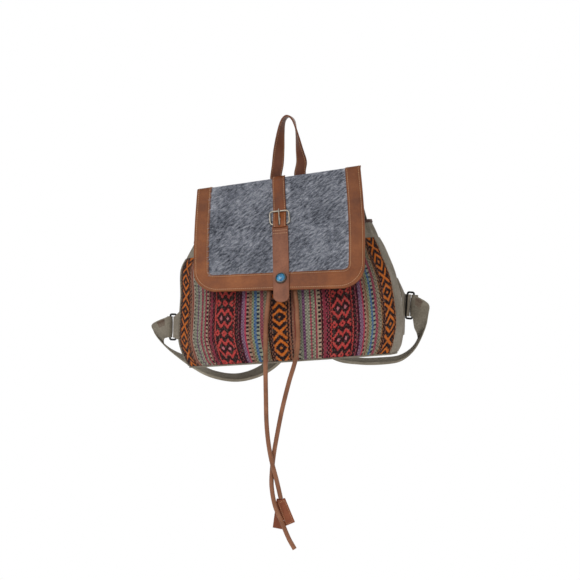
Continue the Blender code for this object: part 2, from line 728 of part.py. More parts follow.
def make_flap():
    """The flap: its fixed root over the back's top, lining, hide panel and leather border."""
    roll = math.pi - math.radians(30)
    arc_length = (ROOT_RADIUS - ROOT_THICKNESS / 2) * roll
    half = FLAP_HALF_WIDTH - 0.003

    def root_place(across, along, height):
        if along < arc_length:
            angle = roll * (1 - along / arc_length)
            radius = ROOT_RADIUS - ROOT_THICKNESS + height
            return hanging(across, AXIS_Y + radius * math.cos(angle), AXIS_DROP - radius * math.sin(angle))
        drop = AXIS_DROP + along - arc_length
        return hanging(across, section_sizes(drop)[3] + CANVAS + GAP + height, drop)

    reach = arc_length + ROOT_DROP - AXIS_DROP
    grid_piece("flap_root", (-half, half), (0, reach), (0, ROOT_THICKNESS), (1, 26), root_place, "leather")

    wrap = -WRAP_LENGTH
    cuts = [wrap * 0.75, wrap * 0.5, wrap * 0.25, 0, 0.03, 0.06, 0.09, 0.12, 0.15]

    def bag_outline(inset, top, corner):
        width, base = FLAP_HALF_WIDTH - inset, FLAP_LENGTH - inset
        right = arc((width - corner, base - corner), corner, 0, 90, 8)
        left = arc((-width + corner, base - corner), corner, 90, 180, 8)
        return [(width, top), *right, *left, (-width, top)]

    edge = bag_outline(0, wrap, FLAP_CORNER)
    lining = bag_outline(0.0025, wrap, FLAP_CORNER)
    outline_piece("flap_lining", [lining], (0, LINING), cuts, flap_place, "canvas_dark")
    width, base = FLAP_HALF_WIDTH - BORDER_SIDE, FLAP_LENGTH - BORDER_BASE
    heights = (LINING + GAP, HIDE_TOP)
    right = arc((width - BORDER_CORNER, base - BORDER_CORNER), BORDER_CORNER, 0, 90, 5)
    left = arc((-width + BORDER_CORNER, base - BORDER_CORNER), BORDER_CORNER, 90, 180, 5)
    hide = [(width, wrap), *right, *left, (-width, wrap)]
    outline_piece("flap_hide", [hide], heights, cuts, flap_place, "hide")
    grown = BORDER_CORNER + GAP
    right = arc((width - BORDER_CORNER, base - BORDER_CORNER), grown, 90, 0, 5)
    left = arc((-width + BORDER_CORNER, base - BORDER_CORNER), grown, 180, 90, 5)
    inner = [(-width - GAP, wrap), *left, *right, (width + GAP, wrap)]
    outline_piece("flap_border", [edge + inner], (LINING + GAP, BORDER_TOP), cuts, flap_place, "leather")


def make_closing_strap():
    """The upper strap with its punched slot, and the lower strap with its rounded tip."""
    half = UPPER_STRAP_WIDTH / 2
    end, top = HINGE_AT + TAIL, -WRAP_LENGTH
    strap = [
        (STRAP_AT - half, top),
        (STRAP_AT + half, top),
        (STRAP_AT + half, end),
        (STRAP_AT - half, end),
    ]
    slot_half = PRONG_WIRE + 0.0008
    slot = arc((STRAP_AT, SLOT_START + slot_half), slot_half, 180, 360, 6)
    slot += arc((STRAP_AT, SLOT_END - slot_half), slot_half, 0, 180, 6)
    rise = [TOP_BAR_AT + 0.0015 * i for i in range(1, 13)]
    cuts = [-0.0034, -0.0022, -0.0011, 0, 0.03, *rise]
    outline_piece("strap_upper", [strap, slot], (0, STRAP_THICKNESS), cuts, upper_strap_place, "leather")
    half = LOWER_STRAP_WIDTH / 2
    start = HINGE_AT + EYE_RADIUS + PRONG_WIRE + GAP
    shoulder = LOWER_STRAP_END - TIP_LENGTH
    tip = []
    for i in range(11):
        angle = math.pi * i / 10
        tip.append((STRAP_AT + half * math.cos(angle), shoulder + TIP_LENGTH * math.sin(angle)))
    outline = [(STRAP_AT - half, start), (STRAP_AT + half, start), *tip]
    heights = (LOWER_STRAP_BASE, LOWER_STRAP_BASE + LOWER_STRAP_THICKNESS)
    outline_piece("strap_lower", [outline], heights, [0.10, 0.13, 0.16, 0.19], strap_place, "leather")


def make_buckle():
    """The buckle's frame, a bent wire that leans on the strap, and its prong."""
    hinge, across, _, _ = frame_vectors(strap_place, HINGE_AT, HINGE_HEIGHT)
    top = strap_place(STRAP_AT, TOP_BAR_AT, TOP_BAR_HEIGHT)
    up = top - hinge
    centre, up = (hinge + top) / 2, up.normalized()
    loop = rounded_loop(FRAME_WIDTH, (top - hinge).length, FRAME_CORNER)
    points = [centre + across * x + up * y for x, y in loop]
    curve_object("buckle_frame", points, FRAME_WIRE, "silver", closed=True)
    places = []
    for degrees in (-10, 20, 50, 80, 105):
        angle = math.radians(degrees)
        along = HINGE_AT + EYE_RADIUS * math.cos(angle)
        places.append((along, HINGE_HEIGHT + EYE_RADIUS * math.sin(angle)))
    rest = TOP_BAR_HEIGHT + FRAME_WIRE + GAP + PRONG_WIRE
    places += [
        ((HINGE_AT + TOP_BAR_AT) / 2, (HINGE_HEIGHT + EYE_RADIUS + rest) / 2 + 0.0002),
        (TOP_BAR_AT, rest),
        (TOP_BAR_AT - PRONG_OVERHANG, rest - 0.0006),
    ]
    points = [strap_place(STRAP_AT, along, height) for along, height in places]
    curve_object("buckle_prong", points, PRONG_WIRE, "silver")


def make_concho():
    """The domed rim and its stone on the lower strap, and the snap that closes under them."""
    seat = LOWER_STRAP_BASE + LOWER_STRAP_THICKNESS + GAP
    centre, _, _, outward = frame_vectors(strap_place, CONCHO_AT, seat)
    cup = STONE_RADIUS + GAP
    floor = CONCHO_HEIGHT * 0.4
    rim = [
        (0, floor),
        (cup, floor),
        (cup, CONCHO_HEIGHT),
        (cup + 0.0008, CONCHO_HEIGHT + 0.0002),
        (CONCHO_RADIUS - 0.0004, CONCHO_HEIGHT * 0.5),
        (CONCHO_RADIUS, 0.0002),
        (CONCHO_RADIUS - 0.0003, 0),
        (0, 0),
    ]
    turned_piece("concho_rim", rim, centre, outward, "silver")
    stone = [(0, floor + GAP + STONE_DOME)]
    for share in (0.35, 0.62, 0.82, 0.95):
        stone.append((STONE_RADIUS * share, floor + GAP + STONE_DOME * (1 - share**2.6)))
    stone += [(STONE_RADIUS, floor + GAP + STONE_DOME * 0.12), (STONE_RADIUS, floor + GAP), (0, floor + GAP)]
    turned_piece("concho_stone", stone, centre, outward, "stone", 20)
    face, _, _, outward = frame_vectors(strap_place, CONCHO_AT, -GAP)
    recess = -SNAP_HEIGHT + SNAP_RECESS_DEPTH
    socket = [
        (0, 0),
        (SNAP_RADIUS - 0.0005, 0),
        (SNAP_RADIUS, -0.0005),
        (SNAP_RADIUS, -SNAP_HEIGHT),
        (SNAP_RECESS_RADIUS, -SNAP_HEIGHT),
        (SNAP_RECESS_RADIUS, recess),
        (0, recess),
    ]
    turned_piece("snap_socket", socket, face, outward, "silver", 20)
    depth = belly_distance(CONCHO_AT) - SNAP_SEAT
    boss = SNAP_RECESS_RADIUS - SNAP_PLAY
    top = -SNAP_HEIGHT - GAP
    stud = [
        (0, recess - SNAP_PLAY),
        (boss, recess - SNAP_PLAY),
        (boss, top),
        (SNAP_RADIUS, top),
        (SNAP_RADIUS, -depth),
        (0, -depth),
    ]
    turned_piece("snap_stud", stud, face, outward, "silver", 20)


def belly_distance(along):
    """How far the front panel's face is behind the flap's inner face, square to the flap."""
    face, _, _, outward = frame_vectors(strap_place, along, 0)
    step, steps = 0.0001, 400
    for i in range(steps):
        point = face - outward * (i * step)
        low, high = MOUTH_DROP, BODY_DROP
        for _ in range(24):
            drop = (low + high) / 2
            if hanging(STRAP_AT, 0, drop).z > point.z:
                low = drop
            else:
                high = drop
        front = section_point(front_turn(STRAP_AT, drop), drop)[1] - CLOTH
        if point.y > front:
            return i * step
    return steps * step


def make_handle():
    """The handle: one strap from the yoke up over the hanging point and back, turned on edge there."""
    seat = CANVAS + GAP + ROOT_THICKNESS + GAP + HANDLE_THICKNESS / 2

    def edges(centre, angle):
        half = Vector((math.cos(angle), math.sin(angle), 0)) * HANDLE_WIDTH / 2
        return centre - half, centre + half

    def base_edges(at, drop, out):
        depth = section_sizes(drop)[3] + out
        half = HANDLE_WIDTH / 2
        return hanging(at - half, depth, drop), hanging(at + half, depth, drop)

    clear = WRAP_RADIUS + BORDER_TOP + STRAP_THICKNESS + 2 * GAP + HANDLE_THICKNESS / 2
    beyond = AXIS_Y + clear - section_sizes(AXIS_DROP)[3]
    crown = HANDLE_THICKNESS / 2
    left = [
        base_edges(HANDLE_LEFT, HANDLE_DROP, seat),
        base_edges(HANDLE_LEFT, HANDLE_DROP * 0.66, seat),
        base_edges(HANDLE_LEFT, AXIS_DROP + 0.0115, seat + 0.0004),
        base_edges(HANDLE_LEFT + 0.0005, AXIS_DROP, beyond),
        base_edges(HANDLE_LEFT + 0.0010, AXIS_DROP - 0.0120, beyond + 0.0002),
        edges(Vector((-0.0180, 0.0050, -0.0740)), math.radians(18)),
        edges(Vector((-0.0153, 0.0025, -0.0506)), math.radians(44)),
        edges(Vector((-0.0118, 0.0008, -0.0230)), math.radians(72)),
        edges(Vector((-0.0084, 0.0002, -0.0070)), math.radians(86)),
        edges(Vector((-0.0045, 0.0, -0.0008)), math.radians(90)),
        edges(Vector((0.0, 0.0, crown)), math.radians(90)),
    ]
    right = [
        edges(Vector((0.0050, 0.0, -0.0008)), math.radians(90)),
        edges(Vector((0.0094, 0.0002, -0.0070)), math.radians(94)),
        edges(Vector((0.0134, 0.0008, -0.0230)), math.radians(108)),
        edges(Vector((0.0178, 0.0025, -0.0506)), math.radians(136)),
        edges(Vector((0.0205, 0.0050, -0.0700)), math.radians(162)),
    ]
    base = [
        base_edges(HANDLE_RIGHT - 0.0010, AXIS_DROP - 0.0120, beyond + 0.0002),
        base_edges(HANDLE_RIGHT - 0.0005, AXIS_DROP, beyond),
        base_edges(HANDLE_RIGHT, AXIS_DROP + 0.0115, seat + 0.0004),
        base_edges(HANDLE_RIGHT, HANDLE_DROP * 0.66, seat),
        base_edges(HANDLE_RIGHT, HANDLE_DROP, seat),
    ]
    right += [(b, a) for a, b in base]
    ribbon("handle_strap", left + right, even_thickness(HANDLE_THICKNESS), "leather_dark", 2, 0.005)


def make_yoke():
    """The leather yoke that covers the handle's and the shoulder straps' ends."""
    under = CANVAS + GAP + ROOT_THICKNESS + GAP + max(HANDLE_THICKNESS, SHOULDER_THICKNESS) + GAP

    def place(across, drop, out):
        return hanging(YOKE_AT + across, section_sizes(drop)[3] + under + out, drop)

    corner = 0.008
    outline = arc((YOKE_HALF_WIDTH - corner, YOKE_TOP + corner), corner, 270, 360, 4)
    outline += arc((YOKE_HALF_WIDTH - corner, YOKE_BASE - corner), corner, 0, 90, 4)
    outline += arc((-YOKE_HALF_WIDTH + corner, YOKE_BASE - corner), corner, 90, 180, 4)
    outline += arc((-YOKE_HALF_WIDTH + corner, YOKE_TOP + corner), corner, 180, 270, 4)
    outline_piece("yoke", [outline], (0, YOKE_THICKNESS), [0.03, 0.044], place, "leather")


class Ring:
    """A rectangular ring: its wing bar and strap bar, each from its low end to its high end."""

    def __init__(self, name, low, high, toward):
        self.name = name
        self.along = (high - low).normalized()
        self.toward = (toward - self.along * toward.dot(self.along)).normalized()
        middle = (low + high) / 2
        half = self.along * (RING_LENGTH / 2)
        self.wing_bar = (middle - half, middle + half)
        shift = self.toward * RING_WIDTH
        self.strap_bar = (middle - half + shift, middle + half + shift)

    def build(self):
        """The ring's bent wire."""
        centre = (self.wing_bar[0] + self.strap_bar[1]) / 2
        loop = rounded_loop(RING_WIDTH, RING_LENGTH, RING_CORNER, 3)
        points = [centre + self.toward * x + self.along * y for x, y in loop]
        curve_object(self.name, points, RING_WIRE, "black_metal", closed=True)


def loop_stations(bar, width, arriving, side, thickness):
    """Edge pairs of a strap that arrives at a bar, passes on one side and turns back round it."""
    axis = (bar[1] - bar[0]).normalized()
    arriving = (arriving - axis * arriving.dot(axis)).normalized()
    side = (side - axis * side.dot(axis) - arriving * side.dot(arriving)).normalized()
    radius = RING_WIRE + LOOP_PLAY + thickness / 2
    centre = (bar[0] + bar[1]) / 2 - arriving * (LOOP_PLAY - GAP)
    half = axis * (width / 2)
    stations = []
    steps = 12
    for i in range(steps + 1):
        angle = LOOP_SWEEP * i / steps
        point = centre + side * (radius * math.cos(angle)) + arriving * (radius * math.sin(angle))
        stations.append((point + half, point - half))
    return stations


def make_rings():
    """The two rings at the lower corners."""
    left = Ring(
        "ring_left", Vector((-0.2004, 0.045, -0.3483)), Vector((-0.1995, 0.045, -0.3094)), Vector((-1, 0, 0))
    )
    right = Ring(
        "ring_right", Vector((0.1750, 0.058, -0.3123)), Vector((0.1781, 0.058, -0.2728)), Vector((1, 0, 0))
    )
    left.build()
    right.build()
    return left, right


def make_wing(name, side, ring):
    """A canvas wing from the back corner's seam to its loop round the ring's bar."""

    def corner(drop, out):
        sizes = section_sizes(drop)
        point = hanging(sway(drop) + side * sizes[4], sizes[3], drop)
        return point + Vector((side * out, out * 0.9, 0))

    seam = CANVAS + GAP + WEBBING / 2
    first = (corner(WING_TOP, seam), corner(WING_BASE, seam))
    bow = corner((WING_TOP + WING_BASE) / 2, seam) - (first[0] + first[1]) / 2
    bar_middle = (ring.wing_bar[0] + ring.wing_bar[1]) / 2
    arriving = bar_middle - (first[0] + first[1]) / 2 - bow
    width = RING_LENGTH - 2 * RING_WIRE - 0.0025
    loop = loop_stations(ring.wing_bar, width, arriving, Vector((0, -side * arriving.x - 0.2, 0)), WEBBING)
    second, middle = (tuple(a.lerp(b, t) for a, b in zip(first, loop[0])) for t in (0.28, 0.62))
    stations = [first, second, middle, *loop]
    bows = [bow, bow * 0.7, bow * 0.2] + [Vector()] * len(loop)
    ribbon(name, stations, even_thickness(WEBBING), "canvas", 6, 0.008, bows)


RIGHT_STRAP = [
    ((0.2113, 0.055, -0.2905), (0.1882, 0.058, -0.3278)),
    ((0.2108, 0.059, -0.3045), (0.1911, 0.066, -0.3374)),
    ((0.2045, 0.062, -0.3293), (0.1885, 0.082, -0.3472)),
    ((0.1892, 0.064, -0.3597), (0.1765, 0.092, -0.3618)),
    ((0.1686, 0.065, -0.3779), (0.1583, 0.097, -0.3733)),
    ((0.1462, 0.065, -0.3834), (0.1354, 0.098, -0.3776)),
    ((0.1011, 0.064, -0.3848), (0.0898, 0.097, -0.3790)),
    ((0.0600, 0.060, -0.3775), (0.0470, 0.093, -0.3700)),
    ((0.0345, 0.060, -0.3520), (0.0275, 0.092, -0.3480)),
    ((0.0330, 0.060, -0.3100), (0.0250, 0.091, -0.3100)),
    ((0.0480, 0.060, -0.2500), (0.0220, 0.078, -0.2500)),
    ((0.0680, 0.046, -0.1950), (0.0350, 0.050, -0.1960)),
]
LEFT_STRAP = [
    ((-0.2411, 0.046, -0.3243), (-0.2213, 0.047, -0.3489)),
    ((-0.2394, 0.047, -0.3357), (-0.2250, 0.059, -0.3580)),
    ((-0.2289, 0.049, -0.3511), (-0.2200, 0.073, -0.3665)),
    ((-0.2095, 0.050, -0.3696), (-0.2060, 0.083, -0.3735)),
    ((-0.1723, 0.052, -0.3952), (-0.1797, 0.086, -0.3880)),
    ((-0.1400, 0.054, -0.4094), (-0.1493, 0.088, -0.4025)),
    ((-0.0981, 0.055, -0.4145), (-0.1105, 0.090, -0.4069)),
    ((-0.0582, 0.056, -0.4043), (-0.0748, 0.090, -0.3958)),
    ((-0.0286, 0.057, -0.3839), (-0.0478, 0.090, -0.3744)),
    ((-0.0110, 0.058, -0.3560), (-0.0260, 0.090, -0.3500)),
    ((-0.0060, 0.058, -0.3050), (-0.0130, 0.090, -0.3050)),
    ((-0.0250, 0.056, -0.2500), (-0.0030, 0.080, -0.2500)),
    ((-0.0630, 0.044, -0.1950), (-0.0310, 0.050, -0.1930)),
]


def make_shoulder_strap(name, side, ring, route):
    """A shoulder strap: round the ring's bar, down and under the bag, and up the back to the yoke."""
    first = (Vector(route[0][0]), Vector(route[0][1]))
    bar_middle = (ring.strap_bar[0] + ring.strap_bar[1]) / 2
    arriving = bar_middle - (first[0] + first[1]) / 2
    loop = loop_stations(ring.strap_bar, LOOP_WIDTH, arriving, Vector((0, -1, 0)), WEBBING)
    stations = [*reversed(loop), *[(Vector(a), Vector(b)) for a, b in route]]
    seat = CANVAS + GAP + ROOT_THICKNESS + GAP + SHOULDER_THICKNESS / 2
    for drop, out in ((0.075, seat + 0.003), (YOKE_BASE, seat), (0.036, seat), (SHOULDER_TOP, seat)):
        depth = section_sizes(drop)[3] + out
        half = SHOULDER_WIDTH / 2
        outer = hanging(YOKE_AT + side * (SHOULDER_AT + half), depth, drop)
        stations.append((outer, hanging(YOKE_AT + side * (SHOULDER_AT - half), depth, drop)))

    def thickness(share):
        return WEBBING + (SHOULDER_THICKNESS - WEBBING) * smooth_step(PADDING_START, PADDING_FULL, share)

    ribbon(name, stations, thickness, "canvas")


def main():
    """Builds the backpack in its own collection, with the cutters in another."""
    for old in list(bpy.data.objects):
        bpy.data.objects.remove(old, do_unlink=True)
    for name in ("backpack", "cutters"):
        collection = bpy.data.collections.new(name)
        bpy.context.scene.collection.children.link(collection)
    make_body()
    make_casing()
    make_eyelets()
    make_lining()
    make_drawstring()
    make_laces()
    make_flap()
    make_closing_strap()
    make_buckle()
    make_concho()
    make_handle()
    make_yoke()
    left, right = make_rings()
    make_wing("wing_left", -1, left)
    make_wing("wing_right", 1, right)
    make_shoulder_strap("shoulder_strap_left", -1, left, LEFT_STRAP)
    make_shoulder_strap("shoulder_strap_right", 1, right, RIGHT_STRAP)


if __name__ == "__main__":
    main()
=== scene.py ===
"""Dresses a small flap backpack that hangs by its handle.

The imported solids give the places. The cloth, hide, leather, metal and stone are made here: a
striped woven front, canvas sides, back and straps, a hair-on hide flap edged with stitched
leather, a buckled strap with a turquoise stone, and a rolled leather drawstring.
"""

import logging
import math
from dataclasses import dataclass, field
from enum import Enum
from typing import Callable, Optional, Sequence

import bmesh
import bpy
import numpy as np
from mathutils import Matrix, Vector


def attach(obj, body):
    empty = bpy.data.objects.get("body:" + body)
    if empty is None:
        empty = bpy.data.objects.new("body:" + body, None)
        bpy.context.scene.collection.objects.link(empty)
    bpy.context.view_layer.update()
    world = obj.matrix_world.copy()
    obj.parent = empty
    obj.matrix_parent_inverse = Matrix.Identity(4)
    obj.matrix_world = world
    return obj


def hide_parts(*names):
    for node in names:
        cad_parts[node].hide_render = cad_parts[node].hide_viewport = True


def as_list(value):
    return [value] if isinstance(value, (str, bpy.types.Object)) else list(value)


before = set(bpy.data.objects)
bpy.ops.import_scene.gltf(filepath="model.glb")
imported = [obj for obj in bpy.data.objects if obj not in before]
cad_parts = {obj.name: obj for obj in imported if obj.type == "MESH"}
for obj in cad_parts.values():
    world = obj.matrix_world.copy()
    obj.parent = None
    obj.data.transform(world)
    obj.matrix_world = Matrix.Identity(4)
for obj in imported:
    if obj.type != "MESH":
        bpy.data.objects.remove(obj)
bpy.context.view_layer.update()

LOG = logging.getLogger("backpack")
Place = Callable[[float, float, float], Vector]
Colour = tuple[float, float, float]
MILLIMETRE = 0.001
STITCH_LIFT = 0.0001
YOKE_AT = 0.0052


class Body(Enum):
    """The bodies that the pieces ride on."""

    BAG = "bag"
    FLAP = "flap"
    RING_LEFT = "ring_left"
    RING_RIGHT = "ring_right"


class Side(Enum):
    """Left or right, as the sign of X."""

    LEFT = -1
    RIGHT = 1

    @property
    def label(self) -> str:
        """The side as the names of pieces give it."""
        return self.name.lower()


def paint(code: str) -> Colour:
    """A colour written as six hexadecimal digits, in the renderer's linear values."""
    parts = [int(code[i : i + 2], 16) / 255 for i in (0, 2, 4)]
    return tuple(c / 12.92 if c <= 0.04045 else ((c + 0.055) / 1.055) ** 2.4 for c in parts)


def smooth_value(stations: Sequence, at: float) -> np.ndarray:
    """The value at a place on a smooth curve through stations.

    Args:
        stations: pairs of a place and a value or a tuple of values.
        at: the place that is asked for.

    Returns:
        The value there, held at the ends.
    """
    places = [s[0] for s in stations]
    values = [np.array(s[1], float) for s in stations]
    count = len(places)
    at = min(max(at, places[0]), places[-1])
    i = min(max(int(np.searchsorted(places, at)) - 1, 0), count - 2)
    slopes = []
    for k in (i, i + 1):
        low, high = max(0, k - 1), min(count - 1, k + 1)
        slopes.append((values[high] - values[low]) / (places[high] - places[low]))
    span = places[i + 1] - places[i]
    t = (at - places[i]) / span
    return (
        (2 * t**3 - 3 * t**2 + 1) * values[i]
        + (t**3 - 2 * t**2 + t) * span * slopes[0]
        + (3 * t**2 - 2 * t**3) * values[i + 1]
        + (t**3 - t**2) * span * slopes[1]
    )


def smooth_number(places: Sequence, values: Sequence, at: float) -> float:
    """The number at a place on a smooth curve through values at places."""
    return float(smooth_value(list(zip(places, values)), at))


def smooth_step(low: float, high: float, at):
    """0 below low, 1 above high and an even rise between them, for a number or an array."""
    t = np.clip((at - low) / (high - low), 0, 1)
    return t * t * (3 - 2 * t)


def smooth_route(points: Sequence, step: float) -> list[Vector]:
    """Evenly spaced points on a smooth curve through the route's points."""
    places = [0.0]
    for before, after in zip(points, points[1:]):
        places.append(places[-1] + (Vector(after) - Vector(before)).length)
    stations = list(zip(places, [tuple(p) for p in points]))
    count = max(2, math.ceil(places[-1] / step))
    return [Vector(smooth_value(stations, places[-1] * i / count)) for i in range(count + 1)]


def arc(centre: tuple, radius: float, start: float, end: float, steps: int) -> list[tuple]:
    """Points along an arc; angles are in degrees."""
    angles = [math.radians(start + (end - start) * i / steps) for i in range(steps + 1)]
    return [(centre[0] + radius * math.cos(a), centre[1] + radius * math.sin(a)) for a in angles]


@dataclass(frozen=True)
class BagForm:
    """The bag's outer form: how it hangs, and its section at each drop below the flap's fold."""

    fold_x: float = -0.0137
    fold_z: float = -0.0942
    top_tilt: float = math.radians(6.9)
    base_tilt: float = math.radians(4.3)
    drop: float = 0.282
    gap: float = 0.0003
    cloth: float = 0.0018
    canvas: float = 0.0015
    lining: float = 0.0012
    mouth: float = 0.087
    casing: float = 0.023
    halves: tuple = (0.126, 0.139, 0.1585, 0.171, 0.157)
    sways: tuple = (-0.003, -0.007)
    fronts: tuple = (0.037, 0.068, 0.0935, 0.083)
    seams: tuple = (0.020, 0.052)
    back_top: float = -0.0056
    back_lean: float = 0.0366
    back_narrower: float = 0.004
    bow: float = math.radians(62)
    gusset_bow: float = 0.004
    axis_drop: float = 0.0085

    def hanging(self, across: float, depth: float, drop: float) -> Vector:
        """A point of the bag as it hangs, with its centre line bent from top to base."""
        turn = (self.base_tilt - self.top_tilt) / self.drop
        tilt = self.top_tilt + turn * drop
        x = self.fold_x + (math.cos(self.top_tilt) - math.cos(tilt)) / turn
        z = self.fold_z - (math.sin(tilt) - math.sin(self.top_tilt)) / turn
        return Vector((x + across * math.cos(tilt), depth, z + across * math.sin(tilt)))

    def sway(self, drop: float) -> float:
        """How far the section hangs to the right of the bag's centre line at a drop."""
        places = (0, self.mouth, 0.45 * self.drop, 0.62 * self.drop, self.drop)
        return smooth_number(places, (0, *self.sways, 0, 0), drop)

    def sizes(self, drop: float) -> tuple:
        """Half width, front, seam, back and back's half width at a drop."""
        belly, low = 0.83 * self.drop, 0.96 * self.drop
        top, mouth, middle, widest, base = self.halves
        places = (0.0, self.mouth, 0.46 * self.drop, belly, low, self.drop)
        widths = (top, mouth, middle, widest, 0.45 * widest + 0.55 * base, base)
        half = smooth_number(places, widths, drop)
        mouth, middle, widest, base = self.fronts
        places = (self.mouth, 0.54 * self.drop, belly, low, self.drop)
        depths = (mouth, middle, widest, 0.55 * widest + 0.45 * base, base)
        front = smooth_number(places, depths, drop)
        seams = (self.seams[0], self.seams[1], self.seams[1])
        seam = smooth_number((self.mouth, belly, self.drop), seams, drop)
        start = -0.35 * self.drop
        lean = smooth_step(start, self.drop, drop) - smooth_step(start, self.drop, self.axis_drop)
        back = self.back_top + self.back_lean * max(lean, 0)
        return half, -front, -seam, float(back), half - self.back_narrower

    def point(self, turn: float, drop: float, inset: float = 0.0) -> np.ndarray:
        """A point of the section: turn -1 to 1 is the front, 1 to 2 a gusset, 2 to 4 the back."""
        half, front, seam, back, back_half = self.sizes(drop)
        half, front, back, back_half = half - inset, front + inset, back - inset, back_half - inset
        seam += 0.6 * inset
        shift = self.sway(drop)
        turn = (turn + 2) % 6 - 2
        if abs(turn) <= 1:
            x = half * math.sin(self.bow * turn) / math.sin(self.bow)
            rise = (math.cos(self.bow * turn) - math.cos(self.bow)) / (1 - math.cos(self.bow))
            return np.array([shift + x, seam - (seam - front) * rise])
        if abs(turn) <= 2:
            side, t = math.copysign(1, turn), abs(turn) - 1
            x = half + (back_half - half) * t + self.gusset_bow * math.sin(math.pi * t)
            return np.array([shift + side * x, seam + (back - seam) * t])
        return np.array([shift + back_half * (3 - turn), back])

    def front_turn(self, across: float, drop: float) -> float:
        """The turn at which the front is that far across."""
        across -= self.sway(drop)
        return math.asin(across * math.sin(self.bow) / self.sizes(drop)[0]) / self.bow

    def wall(self, turn: float, drop: float, out: float, low: float, high: float) -> Vector:
        """A point of the wall, out from its section, in the panel between two turns."""
        before = self.point(max(turn - 0.004, low), drop)
        after = self.point(min(turn + 0.004, high), drop)
        along = after - before
        normal = np.array([along[1], -along[0]]) / np.hypot(*along)
        x, y = self.point(turn, drop) + normal * out
        return self.hanging(x, y, drop)

    def panel(self, low: float, high: float) -> Place:
        """How a panel between two turns is laid on the bag."""
        return lambda turn, drop, out: self.wall(turn, drop, out, low, high)

    def back_face(self, across: float, drop: float, out: float) -> Vector:
        """A point out from the back."""
        return self.hanging(across, self.sizes(drop)[3] + out, drop)


@dataclass(frozen=True)
class FlapForm:
    """The flap's own sheet: across, along from its fold, and height above its inner face."""

    bag: BagForm
    axis_y: float = -0.0060
    root_radius: float = 0.0040
    root: float = 0.0018
    root_drop: float = 0.047
    radius: float = 0.0048
    wrap_end: float = math.radians(100)
    lean: float = math.radians(26)
    half: float = 0.1305
    length: float = 0.1896
    corner: float = 0.034
    skew: float = 0.39
    drift: float = 0.0052
    spread: float = 0.011
    bulge: float = 0.025
    border_side: float = 0.024
    border_base: float = 0.029
    border_corner: float = 0.008
    hide: float = 0.0020
    leather: float = 0.0025

    @property
    def wrap(self) -> float:
        """The length of the sheet on the fold's roll."""
        return self.radius * (math.pi - self.lean - self.wrap_end)

    @property
    def hide_base(self) -> float:
        """The height at which the hide and its border start."""
        return self.bag.lining + self.bag.gap

    @property
    def hide_top(self) -> float:
        """The height of the hide's face."""
        return self.hide_base + self.hide

    @property
    def border_top(self) -> float:
        """The height of the border's face."""
        return self.hide_base + self.leather

    def place(self, across: float, along: float, height: float) -> Vector:
        """A point of the flap."""
        share = min(max(along / self.length, 0), 1)
        across = across * (1 + self.spread + self.bulge * math.sin(math.pi * share)) + self.drift * share
        radius = self.radius + height
        leave = math.pi - self.lean
        if along < 0:
            angle = leave + along / self.radius
            depth = self.axis_y + radius * math.cos(angle)
            return self.bag.hanging(across, depth, self.bag.axis_drop - radius * math.sin(angle))
        run = along * (1 + self.skew * across)
        depth = self.axis_y + radius * math.cos(leave) - run * math.sin(self.lean)
        drop = self.bag.axis_drop - radius * math.sin(leave) + run * math.cos(self.lean)
        return self.bag.hanging(across, depth, drop)

    def outline(self, inset: float, top: float, corner: float) -> list[tuple]:
        """The flap's outline, drawn in by an inset."""
        width, base = self.half - inset, self.length - inset
        right = arc((width - corner, base - corner), corner, 0, 90, 16)
        left = arc((-width + corner, base - corner), corner, 90, 180, 16)
        return [(width, top), *right, *left, (-width, top)]

    def hide_edge(self, grown: float, top: float) -> list[tuple]:
        """The hide's outline, right side first, grown by a distance."""
        width, base = self.half - self.border_side, self.length - self.border_base
        centre = (width - self.border_corner, base - self.border_corner)
        right = arc(centre, self.border_corner + grown, 0, 90, 10)
        left = arc((-centre[0], centre[1]), self.border_corner + grown, 90, 180, 10)
        return [(width + grown, top), *right, *left, (-width - grown, top)]


def add_node(tree: bpy.types.NodeTree, kind: str, inputs: Optional[dict] = None, **settings):
    """Adds a node to a tree, with settings on it and values or links in its inputs.

    Args:
        tree: the node tree.
        kind: the node's type.
        inputs: values or output sockets by input name or number.
        settings: properties of the node.

    Returns:
        The node.
    """
    made = tree.nodes.new(kind)
    for key, value in settings.items():
        setattr(made, key, value)
    for key, value in (inputs or {}).items():
        target = made.inputs[key]
        if isinstance(value, bpy.types.NodeSocket):
            tree.links.new(value, target)
        elif target.type == "RGBA" and len(value) == 3:
            target.default_value = (*value, 1)
        else:
            target.default_value = value
    return made


